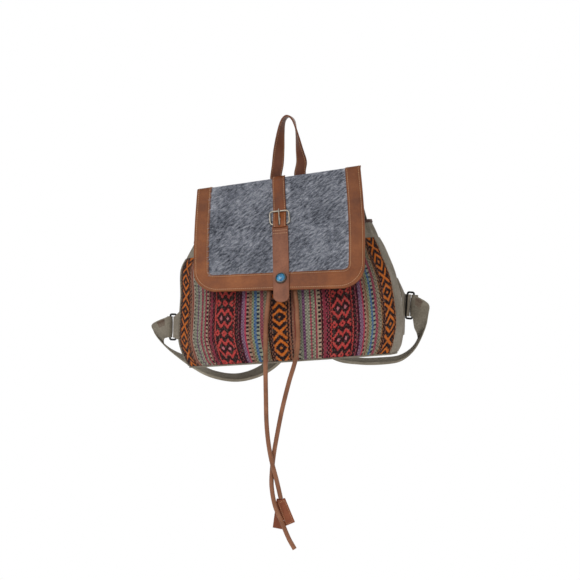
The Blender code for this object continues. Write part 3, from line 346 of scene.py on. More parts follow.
class ShaderTree:
    """A material's node tree, built with short calls."""

    def __init__(self, name: str) -> None:
        """Starts a material of that name, with its output and the places on its piece."""
        self.material = bpy.data.materials.new(name)
        self.material.use_nodes = True
        self.tree = self.material.node_tree
        self.tree.nodes.clear()
        self.output = self.tree.nodes.new("ShaderNodeOutputMaterial")
        spots = self.add("TexCoord").outputs
        self.where, self.flat = spots["Object"], spots["UV"]

    def add(self, kind: str, inputs: Optional[dict] = None, **settings):
        """Adds a node of a type that is given without its prefix."""
        return add_node(self.tree, "ShaderNode" + kind, inputs, **settings)

    def maths(self, operation: str, first, second=0.0):
        """The output of a Math node."""
        return self.add("Math", {0: first, 1: second}, operation=operation).outputs[0]

    def blend(self, first, share: float, second):
        """The sum of a share of one value and the rest of another."""
        parts = self.maths("MULTIPLY", first, share), self.maths("MULTIPLY", second, 1 - share)
        return self.maths("ADD", *parts)

    def noise(self, where, scale: float, detail: float = 4.0, rough: float = 0.55):
        """The factor of a noise."""
        inputs = {"Vector": where, "Scale": scale, "Detail": detail, "Roughness": rough}
        return self.add("TexNoise", inputs).outputs["Fac"]

    def waves(self, across: float, along: float) -> list:
        """Sine waves across and along the cloth, with their spacings in metres."""
        split = self.add("SeparateXYZ", {0: self.flat}).outputs
        turns = [2 * math.pi / spacing for spacing in (across, along)]
        return [self.maths("SINE", self.maths("MULTIPLY", s, t)) for s, t in zip(split, turns)]

    def ranged(self, value, low: float, high: float, start: float = 0.0, end: float = 1.0):
        """A value that runs from start to end, brought to run from low to high."""
        inputs = {"Value": value, "From Min": start, "From Max": end, "To Min": low, "To Max": high}
        return self.add("MapRange", inputs).outputs[0]

    def scaled(self, colour, factor):
        """A colour times a factor."""
        return self.add("VectorMath", {0: colour, "Scale": factor}, operation="SCALE").outputs[0]

    def ramp(self, factor, stops: Sequence):
        """A colour ramp over (place, colour) stops."""
        made = self.add("ValToRGB", {"Fac": factor})
        ramp = made.color_ramp
        while len(ramp.elements) < len(stops):
            ramp.elements.new(0.5)
        for element, (place, colour) in zip(ramp.elements, stops):
            element.position = place
            element.color = (*colour, 1)
        return made.outputs["Color"]

    def multiplied(self, factor: float, first, second):
        """A colour multiplied by another, as far as the factor says."""
        inputs = {0: factor, 6: first, 7: second}
        return self.add("Mix", inputs, data_type="RGBA", blend_type="MULTIPLY").outputs[2]

    def bump(self, height, distance: float, before=None):
        """A bump of that depth in metres, on top of another one."""
        inputs = {"Height": height, "Strength": 1.0, "Distance": distance}
        if before is not None:
            inputs["Normal"] = before
        return self.add("Bump", inputs).outputs["Normal"]

    def surface(self, colour, rough, **others) -> bpy.types.Material:
        """Ends the tree in a Principled shader, with further inputs by name, and returns the material."""
        inputs = {"Base Color": colour, "Roughness": rough}
        for key, value in others.items():
            inputs[key.replace("_", " ")] = value
        shader = self.add("BsdfPrincipled", inputs)
        self.tree.links.new(shader.outputs[0], self.output.inputs["Surface"])
        return self.material


@dataclass(frozen=True)
class Leather:
    """Waxed leather with mottled colour, creases, a fine grain and painted shade: darker towards the top."""

    name: str
    middle: str
    dark: str
    light: str
    grain: float = 1300.0
    rough: float = 0.46

    def make(self) -> bpy.types.Material:
        """Builds the leather."""
        s = ShaderTree(self.name)
        cloud = s.noise(s.where, 28, 6, 0.6)
        stops = [(0.28, paint(self.dark)), (0.5, paint(self.middle)), (0.74, paint(self.light))]
        speck = s.ramp(s.noise(s.where, 420, 3), [(0.35, (0.72, 0.70, 0.68)), (0.62, (1, 1, 1))])
        colour = s.multiplied(0.55, s.ramp(cloud, stops), speck)
        # Painted shade: the colour is scaled from 0.74 high up (Z -0.08) to 1.04 lower down (Z -0.27), so the
        # leather is darker at the top where less light falls.
        height = s.add("SeparateXYZ", {0: s.where}).outputs[2]
        colour = s.scaled(colour, s.ranged(height, 0.74, 1.04, -0.08, -0.27))
        cells = s.add("TexVoronoi", {"Vector": s.where, "Scale": self.grain}, feature="DISTANCE_TO_EDGE")
        bump = s.bump(cells.outputs["Distance"], 0.00016)
        bump = s.bump(s.noise(s.where, 90, 5), 0.0006, bump)
        rough = s.ranged(cloud, self.rough - 0.08, self.rough + 0.12)
        return s.surface(colour, rough, Normal=bump, Specular_IOR_Level=0.28)


@dataclass(frozen=True)
class Canvas:
    """Plain-woven canvas: crossing yarns, slubs and uneven dye."""

    name: str
    middle: str
    dark: str
    light: str
    yarn: float = 0.00085

    def make(self) -> bpy.types.Material:
        """Builds the canvas, woven along the piece's own UV map, which is in metres."""
        s = ShaderTree(self.name)
        weave = s.maths("MULTIPLY", *s.waves(self.yarn, self.yarn))
        both = s.blend(s.noise(s.where, 22, 5), 0.55, s.noise(s.where, 330, 4, 0.7))
        stops = [(0.36, paint(self.dark)), (0.5, paint(self.middle)), (0.64, paint(self.light))]
        colour = s.scaled(s.ramp(both, stops), s.ranged(weave, 0.84, 1.1, -1.0))
        bump = s.bump(weave, 0.00022, s.bump(s.noise(s.where, 60, 4), 0.0012))
        return s.surface(colour, 0.92, Normal=bump, Specular_IOR_Level=0.12, Sheen_Weight=0.08)


@dataclass(frozen=True)
class StripedWeave:
    """The striped cloth: yarn colours from the piece's attribute, ribs from its UV map."""

    name: str = "striped_weave"
    rib: float = 0.0015

    def make(self) -> bpy.types.Material:
        """Builds the striped cloth."""
        s = ShaderTree(self.name)
        yarn = s.add("Attribute", attribute_name="yarn").outputs["Color"]
        across, along = s.waves(self.rib, self.rib * 1.1)
        weave = s.maths("MULTIPLY", s.maths("ABSOLUTE", across), s.maths("ABSOLUTE", along))
        fuzz = s.noise(s.where, 900, 3, 0.7)
        colour = s.scaled(yarn, s.ranged(fuzz, 0.72, 1.22, 0.3, 0.7))
        bump = s.bump(fuzz, 0.0003, s.bump(weave, 0.0004))
        return s.surface(colour, 0.9, Normal=bump, Specular_IOR_Level=0.08, Sheen_Weight=0.05)


@dataclass(frozen=True)
class Hair:
    """Grey hair with dark flecks streaked across it."""

    name: str
    lighter: float = 1.0

    def make(self) -> bpy.types.Material:
        """Builds the hair's colour, drawn out along its lie."""
        s = ShaderTree(self.name)
        turned = s.add("Mapping", {"Vector": s.where, "Rotation": (0, math.radians(38), 0)}).outputs[0]
        drawn = s.add("VectorMath", {0: turned, 1: (0.28, 1.0, 1.0)}, operation="MULTIPLY").outputs[0]
        both = s.blend(s.noise(drawn, 400, 4, 0.6), 0.8, s.noise(s.where, 26, 3))
        stops = [(0.38, "34363e"), (0.46, "666a74"), (0.54, "8e919a"), (0.66, "bcbdc3")]
        colour = s.ramp(both, [(place, paint(code)) for place, code in stops])
        return s.surface(s.scaled(colour, self.lighter), 0.62, Specular_IOR_Level=0.3)


@dataclass(frozen=True)
class Metal:
    """Worn metal: soft scratches and dull spots."""

    name: str
    colour: str
    rough: float = 0.3
    metallic: float = 1.0

    def make(self) -> bpy.types.Material:
        """Builds the metal."""
        s = ShaderTree(self.name)
        spots = s.noise(s.where, 240, 5, 0.65)
        base = paint(self.colour)
        colour = s.ramp(spots, [(0.34, tuple(c * 0.62 for c in base)), (0.58, base)])
        bump = s.bump(s.noise(s.where, 800, 2), 0.00005)
        rough = s.ranged(spots, self.rough - 0.1, self.rough + 0.22)
        return s.surface(colour, rough, Normal=bump, Metallic=self.metallic)


@dataclass(frozen=True)
class Turquoise:
    """A polished turquoise stone with dark veins and a paler heart."""

    name: str = "turquoise"

    def make(self) -> bpy.types.Material:
        """Builds the stone."""
        s = ShaderTree(self.name)
        cloud = s.noise(s.where, 230, 5, 0.6)
        stops = [(0.32, paint("0c2f4c")), (0.5, paint("1f74a4")), (0.66, paint("62b8d8"))]
        veins = s.add("TexVoronoi", {"Vector": s.where, "Scale": 300}, feature="DISTANCE_TO_EDGE")
        dark = s.ramp(veins.outputs["Distance"], [(0.0, (0.18, 0.14, 0.1)), (0.09, (1, 1, 1))])
        return s.surface(s.multiplied(0.7, s.ramp(cloud, stops), dark), 0.16, Coat_Weight=0.5)


@dataclass(frozen=True)
class Thread:
    """Waxed sewing thread."""

    name: str
    colour: str

    def make(self) -> bpy.types.Material:
        """Builds the thread."""
        s = ShaderTree(self.name)
        base = paint(self.colour)
        stops = [(0.3, tuple(c * 0.7 for c in base)), (0.6, base)]
        return s.surface(s.ramp(s.noise(s.where, 1500, 2), stops), 0.7)


class Finishes:
    """Every finish of the bag, made once."""

    def __init__(self) -> None:
        """Makes the materials."""
        self.weave = StripedWeave().make()
        self.canvas = Canvas("khaki_canvas", "8f8576", "776d60", "a2988a").make()
        self.strap_canvas = Canvas("strap_canvas", "8a8172", "71695c", "9c9484").make()
        self.lining = Canvas("lining_cloth", "3b3a33", "2c2b26", "48473f", 0.0006).make()
        self.leather = Leather("tan_leather", "7c441f", "643417", "90552c").make()
        self.rim = Leather("leather_rim", "84502c", "6c3c20", "9a6640").make()
        self.strap = Leather("strap_leather", "84523a", "6a3e2a", "986449").make()
        self.upper = Leather("upper_leather", "7c3e12", "602e0c", "925020", 1300, 0.36).make()
        self.handle = Leather("handle_leather", "6c3b22", "502818", "804a2e").make()
        self.dark = Leather("dark_leather", "4a2c20", "38201a", "5c3a2b").make()
        self.tab = Leather("tab_leather", "783e24", "5c2e1a", "8e5034").make()
        self.lace = Leather("lace_leather", "84563c", "66402a", "9c6c50", 1500).make()
        self.hide = Hair("hide_skin", 1.0).make()
        self.hair = Hair("hide_hair", 1.28).make()
        self.nickel = Metal("worn_nickel", "aaa294").make()
        self.silver = Metal("dark_silver", "625f5a", 0.34).make()
        self.black = Metal("black_enamel", "18181a", 0.4, 0.3).make()
        self.stone = Turquoise().make()
        self.thread = Thread("tan_thread", "c8a078").make()
        self.brown_thread = Thread("brown_thread", "5a3420").make()
        self.drab_thread = Thread("drab_thread", "8f8a76").make()


def link(obj: bpy.types.Object) -> bpy.types.Object:
    """Puts an object in the scene."""
    bpy.context.scene.collection.objects.link(obj)
    return obj


def dress(obj: bpy.types.Object, *materials: bpy.types.Material) -> bpy.types.Object:
    """Gives an object its materials."""
    obj.data.materials.clear()
    for material in materials:
        obj.data.materials.append(material)
    return obj


def mount(obj: bpy.types.Object, body: Body, slot: str, *nodes: str) -> bpy.types.Object:
    """Makes a finished piece ride on a body, with the solids that it stands for.

    Args:
        obj: the finished piece.
        body: the body that it moves with.
        slot: the record's material slot; not used.
        nodes: the solids that it replaces.

    Returns:
        The piece.
    """
    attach(obj, body.value)
    if nodes:
        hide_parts(*nodes)
    LOG.info("%s rides on %s", obj.name, body.value)
    return obj


def baked(obj: bpy.types.Object) -> bpy.types.Object:
    """Turns an object with modifiers, or a curve, into a plain mesh object of the same name."""
    bpy.context.view_layer.update()
    graph = bpy.context.evaluated_depsgraph_get()
    mesh = bpy.data.meshes.new_from_object(obj.evaluated_get(graph))
    mesh.transform(obj.matrix_world)
    name = obj.name
    bpy.data.objects.remove(obj)
    mesh.name = name
    return link(bpy.data.objects.new(name, mesh))


def face_outward(bm: bmesh.types.BMesh) -> None:
    """Turns the faces of a closed piece outward."""
    bmesh.ops.recalc_face_normals(bm, faces=bm.faces)
    if bm.calc_volume(signed=True) < 0:
        bmesh.ops.reverse_faces(bm, faces=bm.faces)


def meshed(name: str, bm: bmesh.types.BMesh) -> bpy.types.Object:
    """Ends a bmesh as a smooth object in the scene."""
    mesh = bpy.data.meshes.new(name)
    bm.to_mesh(mesh)
    bm.free()
    mesh.shade_smooth()
    return link(bpy.data.objects.new(name, mesh))


def keep_sharp(obj: bpy.types.Object, degrees: float) -> bpy.types.Object:
    """Keeps an object's edges hard where its faces meet at more than an angle."""
    obj.data.set_sharp_from_angle(angle=math.radians(degrees))
    return obj


def straight_runs(name: str, lines: Sequence, closed: bool = False, space: str = "3D") -> bpy.types.Curve:
    """A curve of straight runs through the points of each line."""
    curve = bpy.data.curves.new(name, "CURVE")
    curve.dimensions = space
    for line in lines:
        spline = curve.splines.new("POLY")
        spline.points.add(len(line) - 1)
        for target, point in zip(spline.points, line):
            target.co = (*point, 1)
        spline.use_cyclic_u = closed
    return curve


def upsampled(grid: np.ndarray, factor: int) -> np.ndarray:
    """A finer grid on smooth curves through a coarse one, along its first two axes."""
    for _ in range(2):
        count = grid.shape[0]
        padded = np.concatenate([2 * grid[:1] - grid[1:2], grid, 2 * grid[-1:] - grid[-2:-1]])
        at = np.linspace(0, count - 1, (count - 1) * factor + 1)
        i = np.clip(at.astype(int), 0, count - 2)
        t = (at - i).reshape(-1, *[1] * (grid.ndim - 1))
        a, b, c, d = (padded[i + k] for k in range(4))
        grid = b + 0.5 * t * (c - a + t * (2 * a - 5 * b + 4 * c - d + t * (3 * (b - c) + d - a)))
        grid = np.swapaxes(grid, 0, 1)
    return grid


@dataclass
class Sheet:
    """A fine sheet of cloth or leather, laid by a place function over a rectangle.

    The relief, where given, lifts it by a function of its flat coordinates in metres.
    """

    name: str
    place: Place
    across: tuple
    along: tuple
    cells: tuple
    heights: tuple
    factor: int = 3
    flat: Optional[tuple] = None
    relief: Optional[Callable] = None
    backed: bool = True
    colour: Optional[Callable] = None

    def build(self) -> bpy.types.Object:
        """Makes the sheet with a UV map in metres and, if it has colours, a yarn attribute."""
        us = np.linspace(*self.across, self.cells[0] + 1)
        vs = np.linspace(*self.along, self.cells[1] + 1)
        low = np.array([[self.place(u, v, self.heights[0]) for v in vs] for u in us])
        high = np.array([[self.place(u, v, self.heights[1]) for v in vs] for u in us])
        low, high = upsampled(low, self.factor), upsampled(high, self.factor)
        columns, rows = low.shape[:2]
        flat_across, flat_along = self.flat or (self.across, self.along)
        flat = np.meshgrid(np.linspace(*flat_across, columns), np.linspace(*flat_along, rows), indexing="ij")
        outward = high - low
        outward /= np.linalg.norm(outward, axis=2, keepdims=True)
        if self.relief:
            shift = self.relief(*flat)[..., None] * outward
            low, high = low + shift, high + shift
        count = columns * rows
        index = np.arange(count).reshape(columns, rows)
        quads = self._quads(index)
        cross = np.cross(high[1, 0] - high[0, 0], high[0, 1] - high[0, 0])
        if np.dot(cross, outward[0, 0]) < 0:
            quads = quads[:, ::-1]
        faces = [quads]
        if self.backed:
            faces.append(quads[:, ::-1] + count)
        rim = np.concatenate([index[:-1, 0], index[-1, :-1], index[:0:-1, -1], index[0, :0:-1]])
        ahead = np.roll(rim, -1)
        side = np.stack([rim, rim + count, ahead + count, ahead], 1)
        faces.append(side if np.dot(cross, outward[0, 0]) > 0 else side[:, ::-1])
        points = np.concatenate([high.reshape(-1, 3), low.reshape(-1, 3)])
        mesh = bpy.data.meshes.new(self.name)
        mesh.from_pydata(points.tolist(), [], np.concatenate(faces).tolist())
        uv = np.stack([flat[0].ravel(), flat[1].ravel()], 1)
        uv = np.concatenate([uv, uv])
        corners = np.zeros(len(mesh.loops), int)
        mesh.loops.foreach_get("vertex_index", corners)
        mesh.uv_layers.new(name="flat").data.foreach_set("uv", uv[corners].ravel())
        if self.colour:
            tones = self.colour(flat[0].ravel(), flat[1].ravel())
            tones = np.concatenate([tones, tones])
            attribute = mesh.color_attributes.new("yarn", "FLOAT_COLOR", "POINT")
            attribute.data.foreach_set("color", np.c_[tones, np.ones(len(tones))].ravel())
        mesh.shade_smooth()
        return keep_sharp(link(bpy.data.objects.new(self.name, mesh)), 50)

    def _quads(self, index: np.ndarray) -> np.ndarray:
        """The faces between the rows and columns of a grid of point numbers."""
        a, b, c, d = index[:-1, :-1], index[1:, :-1], index[1:, 1:], index[:-1, 1:]
        return np.stack([a.ravel(), b.ravel(), c.ravel(), d.ravel()], 1)


def cut_sheet(
    name: str, outlines: Sequence, heights: tuple, cuts: Sequence, place: Place, round_edge: float = 0.0005
) -> bpy.types.Object:
    """A sheet cut to an outline with holes, laid by a place function, with rounded rims.

    Args:
        name: the piece's name.
        outlines: closed outlines in the sheet's flat coordinates.
        heights: the heights of its two faces.
        cuts: places along it where it is divided, so that it can bend.
        place: how it is laid.
        round_edge: the width of the rounded rim, which takes the second material.

    Returns:
        The piece.
    """
    thickness = heights[1] - heights[0]
    flat_lines = [[(x, y, 0) for x, y in outline] for outline in outlines]
    curve = straight_runs(name, flat_lines, True, "2D")
    curve.fill_mode, curve.extrude = "BOTH", thickness / 2
    flat = bpy.data.objects.new(name, curve)
    bm = bmesh.new()
    bm.from_mesh(bpy.data.meshes.new_from_object(flat))
    bpy.data.objects.remove(flat)
    bmesh.ops.remove_doubles(bm, verts=bm.verts, dist=1e-6)
    bmesh.ops.dissolve_limit(bm, angle_limit=0.01, verts=bm.verts, edges=bm.edges)
    for at in cuts:
        geometry = list(bm.verts) + list(bm.edges) + list(bm.faces)
        bmesh.ops.bisect_plane(bm, geom=geometry, plane_co=(0, at, 0), plane_no=(0, 1, 0))
    layer = bm.loops.layers.uv.new("flat")
    for face in bm.faces:
        for loop in face.loops:
            loop[layer].uv = loop.vert.co.xy
    for v in bm.verts:
        v.co = place(v.co.x, v.co.y, v.co.z + thickness / 2 + heights[0])
    bmesh.ops.recalc_face_normals(bm, faces=bm.faces)
    obj = meshed(name, bm)
    bevel = obj.modifiers.new("Rim", "BEVEL")
    bevel.width, bevel.segments, bevel.limit_method = round_edge, 3, "ANGLE"
    bevel.angle_limit, bevel.material = math.radians(50), 1
    bevel.use_clamp_overlap = True
    return keep_sharp(baked(obj), 60)


@dataclass
class Ribbon:
    """A strap through pairs of edge points, with its own cross-section and bows."""

    name: str
    stations: Sequence
    thickness: Callable[[float], float]
    columns: int = 6
    spacing: float = 0.003
    bows: Optional[Sequence] = None
    crown: float = 0.25
    seam: float = 0.0
    probe: float = 0.0004

    def __post_init__(self) -> None:
        """Sets the stations at their places along the strap."""
        middles = [(a + b) / 2 for a, b in self.stations]
        self.places = [0.0]
        for before, after in zip(middles, middles[1:]):
            self.places.append(self.places[-1] + (after - before).length)
        bows = self.bows or [Vector()] * len(self.stations)
        spots = zip(self.places, self.stations, bows)
        self.edges = [(place, (*a, *b, *bow)) for place, (a, b), bow in spots]

    def _section(self, along: float) -> tuple:
        """Both edges and the bow at a place, then the edges just behind and just ahead of it."""
        steps = (0, -self.probe, self.probe)
        here, behind, ahead = (smooth_value(self.edges, along + step) for step in steps)
        return tuple(Vector(values[i : i + 3]) for values in (here, behind, ahead) for i in (0, 3, 6))

    def _point(self, section: tuple, share: float, height: float) -> Vector:
        """A point at a share of the width, that far from the strap's middle face."""
        a, b, bow, a_behind, b_behind, _, a_ahead, b_ahead, _ = section
        reach = 0.25 + share / 2
        forward = a_ahead.lerp(b_ahead, reach)
        forward -= a_behind.lerp(b_behind, reach)
        middle = a.lerp(b, share) + bow * (4 * share * (1 - share))
        return middle + forward.cross(b - a).normalized() * height

    def build(self) -> bpy.types.Object:
        """Makes the strap, thinner towards its edges, with a dent along each seam."""
        rows = [0.0]
        for low, high in zip(self.places, self.places[1:]):
            count = max(1, round((high - low) / self.spacing))
            rows += [low + (high - low) * (i + 1) / count for i in range(count)]
        width = (self.stations[-1][1] - self.stations[-1][0]).length
        bm = bmesh.new()
        layer = bm.loops.layers.uv.new("flat")
        rings, marks = [], []
        shares = [0.5 - 0.5 * math.cos(math.pi * i / self.columns) for i in range(self.columns + 1)]
        for along in rows:
            ring, mark = [], []
            section = self._section(along)
            thick = self.thickness(along / self.places[-1])
            for side in (1, -1):
                for share in shares if side > 0 else reversed(shares):
                    full = 1 - self.crown * abs(2 * share - 1) ** 3
                    dent = self.seam * math.exp(-(((min(share, 1 - share) - 0.11) / 0.035) ** 2))
                    lift = side * thick * 0.5 * full * (1 - dent)
                    ring.append(bm.verts.new(self._point(section, share, lift)))
                    mark.append((share * width, along))
            rings.append(ring)
            marks.append(mark)
        count = len(rings[0])
        for i in range(len(rings) - 1):
            for j in range(count):
                k = (j + 1) % count
                spots = ((i, j), (i, k), (i + 1, k), (i + 1, j))
                face = bm.faces.new([rings[r][c] for r, c in spots])
                for loop, (r, c) in zip(face.loops, spots):
                    loop[layer].uv = marks[r][c]
        for ring in (rings[0], rings[-1]):
            for j in range(count // 2 - 1):
                bm.faces.new([ring[j], ring[j + 1], ring[count - 2 - j], ring[count - 1 - j]])
        face_outward(bm)
        return keep_sharp(meshed(self.name, bm), 70)

    def line(self, share: float, height: float, start: float, end: float) -> list[Vector]:
        """Points along the strap at a share of its width, that far from its middle face."""
        count = max(4, int(self.places[-1] * (end - start) / 0.004))
        steps = [self.places[-1] * (start + (end - start) * i / count) for i in range(count + 1)]
        return [self._point(self._section(along), share, height) for along in steps]


def tube(name: str, points: Sequence, radius: float, closed: bool = False) -> bpy.types.Object:
    """A smooth wire or cord as a curve with filled caps."""
    curve = straight_runs(name, [points], closed)
    curve.bevel_depth, curve.bevel_resolution, curve.use_fill_caps = radius, 5, not closed
    curve.splines[0].use_smooth = True
    return link(bpy.data.objects.new(name, curve))


def turned(name: str, profile: Sequence, centre: Vector, outward: Vector) -> bpy.types.Object:
    """A turned piece: (radius, height) points run outer side first, set on its axis."""
    mesh = bpy.data.meshes.new(name)
    edges = [(i, i + 1) for i in range(len(profile) - 1)]
    if profile[0][0] > 0:
        edges.append((len(profile) - 1, 0))
    mesh.from_pydata([(r, 0, h) for r, h in profile], edges, [])
    obj = link(bpy.data.objects.new(name, mesh))
    screw = obj.modifiers.new("Turn", "SCREW")
    screw.steps = screw.render_steps = 64
    screw.use_merge_vertices, screw.merge_threshold = True, 0.00001
    obj.location = centre
    obj.rotation_euler = outward.to_track_quat("Z", "Y").to_euler()
    obj = baked(obj)
    bm = bmesh.new()
    bm.from_mesh(obj.data)
    bmesh.ops.remove_doubles(bm, verts=bm.verts, dist=1e-6)
    face_outward(bm)
    bm.to_mesh(obj.data)
    bm.free()
    obj.data.shade_smooth()
    return keep_sharp(obj, 38)


class SpreadTree:
    """A geometry tree that sets copies of a small shape on a piece."""

    def __init__(self, name: str, sockets: dict) -> None:
        """Starts the tree, with a geometry and further inputs of the types given by name."""
        self.group = bpy.data.node_groups.new(name, "GeometryNodeTree")
        for label, kind in {"Geometry": "Geometry", **sockets}.items():
            self.group.interface.new_socket(label, in_out="INPUT", socket_type="NodeSocket" + kind)
        self.group.interface.new_socket("Geometry", in_out="OUTPUT", socket_type="NodeSocketGeometry")
        self.entry = self.add("NodeGroupInput").outputs

    def add(self, kind: str, inputs: Optional[dict] = None, **settings):
        """Adds a node of a type."""
        return add_node(self.group, kind, inputs, **settings)

    def turn(self, way):
        """The rotation that stands a shape's axis along a way."""
        return self.add("FunctionNodeAlignRotationToVector", {"Vector": way}, axis="Z").outputs[0]

    def spread(self, points, shape, turn, size):
        """The real copies of a shape on points."""
        inputs = {"Points": points, "Instance": shape, "Rotation": turn, "Scale": size}
        copies = self.add("GeometryNodeInstanceOnPoints", inputs)
        return self.add("GeometryNodeRealizeInstances", {0: copies.outputs[0]}).outputs[0]

    def end(self, geometry, material: str) -> None:
        """Gives the copies the material of an input and ends the tree."""
        inputs = {"Geometry": geometry, "Material": self.entry[material]}
        self.add("NodeGroupOutput", {0: self.add("GeometryNodeSetMaterial", inputs).outputs[0]})

    def apply(self, obj: bpy.types.Object, **values) -> bpy.types.Object:
        """Runs the tree on an object, with values for its inputs, and bakes it."""
        modifier = obj.modifiers.new(self.group.name, "NODES")
        modifier.node_group = self.group
        for item in self.group.interface.items_tree:
            if item.in_out == "INPUT" and item.name in values:
                modifier[item.identifier] = values[item.name]
        return baked(obj)


class RepeatTree(SpreadTree):
    """A tree that sets a small bead at even steps along lines."""

    def __init__(self, name: str) -> None:
        """Builds the tree, with named inputs for its sizes."""
        sizes = dict.fromkeys(("Spacing", "Length", "Radius"), "Float")
        super().__init__(name, {**sizes, "Thread": "Material"})
        entry = self.entry
        inputs = {"Curve": entry["Geometry"], "Length": entry["Spacing"]}
        steps = self.add("GeometryNodeResampleCurve", inputs, mode="LENGTH")
        inputs = {"Segments": 6, "Rings": 4, "Radius": entry["Radius"]}
        bead = self.add("GeometryNodeMeshUVSphere", inputs)
        half = self.add("ShaderNodeMath", {0: entry["Length"], 1: 2.0}, operation="DIVIDE")
        ratio = self.add("ShaderNodeMath", {0: half.outputs[0], 1: entry["Radius"]}, operation="DIVIDE")
        size = self.add("ShaderNodeCombineXYZ", {0: 1.0, 1: 1.0, 2: ratio.outputs[0]})
        turn = self.turn(self.add("GeometryNodeInputTangent").outputs[0])
        beads = self.spread(steps.outputs[0], bead.outputs["Mesh"], turn, size.outputs[0])
        self.end(self.add("GeometryNodeSetShadeSmooth", {0: beads}).outputs[0], "Thread")

    def sew(
        self, name: str, lines: Sequence, thread: bpy.types.Material, spacing: float = 0.0036,
        length: float = 0.0027, radius: float = 0.00036,
    ) -> bpy.types.Object:
        """Sews rows of stitches.

        Args:
            name: the piece's name.
            lines: rows, each a list of points on the surface.
            thread: the thread's material.
            spacing: from one stitch to the next.
            length: a stitch's length.
            radius: the thread's radius.

        Returns:
            The stitches as one plain mesh.
        """
        obj = link(bpy.data.objects.new(name, straight_runs(name, lines)))
        obj = self.apply(obj, Spacing=spacing, Length=length, Radius=radius, Thread=thread)
        if not obj.data.materials:
            dress(obj, thread)
        return obj


class HairTree(SpreadTree):
    """A tree that covers a surface with short hairs that lie one way."""

    def __init__(self, name: str) -> None:
        """Builds the tree, with named inputs for the hair's density, size, lie and seed."""
        sockets = {"Density": "Float", "Length": "Float", "Lie": "Vector", "Seed": "Int", "Hair": "Material"}
        super().__init__(name, sockets)
        entry = self.entry
        inputs = {"Mesh": entry["Geometry"], "Density": entry["Density"], "Seed": entry["Seed"]}
        scatter = self.add("GeometryNodeDistributePointsOnFaces", inputs)
        inputs = {"Vertices": 3, "Radius Top": 0.00005, "Radius Bottom": 0.00024, "Depth": entry["Length"]}
        blade = self.add("GeometryNodeMeshCone", inputs, fill_type="NONE")
        inputs = {0: (-0.42, -0.30, -0.42), 1: (0.42, 0.10, 0.42)}
        stray = self.add("FunctionNodeRandomValue", inputs, data_type="FLOAT_VECTOR")
        inputs = {0: entry["Lie"], 1: stray.outputs[0]}
        bent = self.add("ShaderNodeVectorMath", inputs, operation="ADD")
        size = self.add("FunctionNodeRandomValue", {2: 0.6, 3: 1.15})
        turn = self.turn(bent.outputs[0])
        points = scatter.outputs["Points"]
        self.end(self.spread(points, blade.outputs["Mesh"], turn, size.outputs[1]), "Hair")

    def grow(self, skin: bpy.types.Object, lie: tuple, hair: bpy.types.Material) -> bpy.types.Object:
        """Replaces a skin with the hairs that grow on it and lie that way."""
        return self.apply(skin, Density=650000.0, Length=0.0058, Lie=lie, Seed=4, Hair=hair)


@dataclass(frozen=True)
class Stripe:
    """One stripe of the cloth: its width in millimetres, its yarns and how they cross."""

    width: float
    ground: str
    figure: str = ""
    kind: str = "plain"


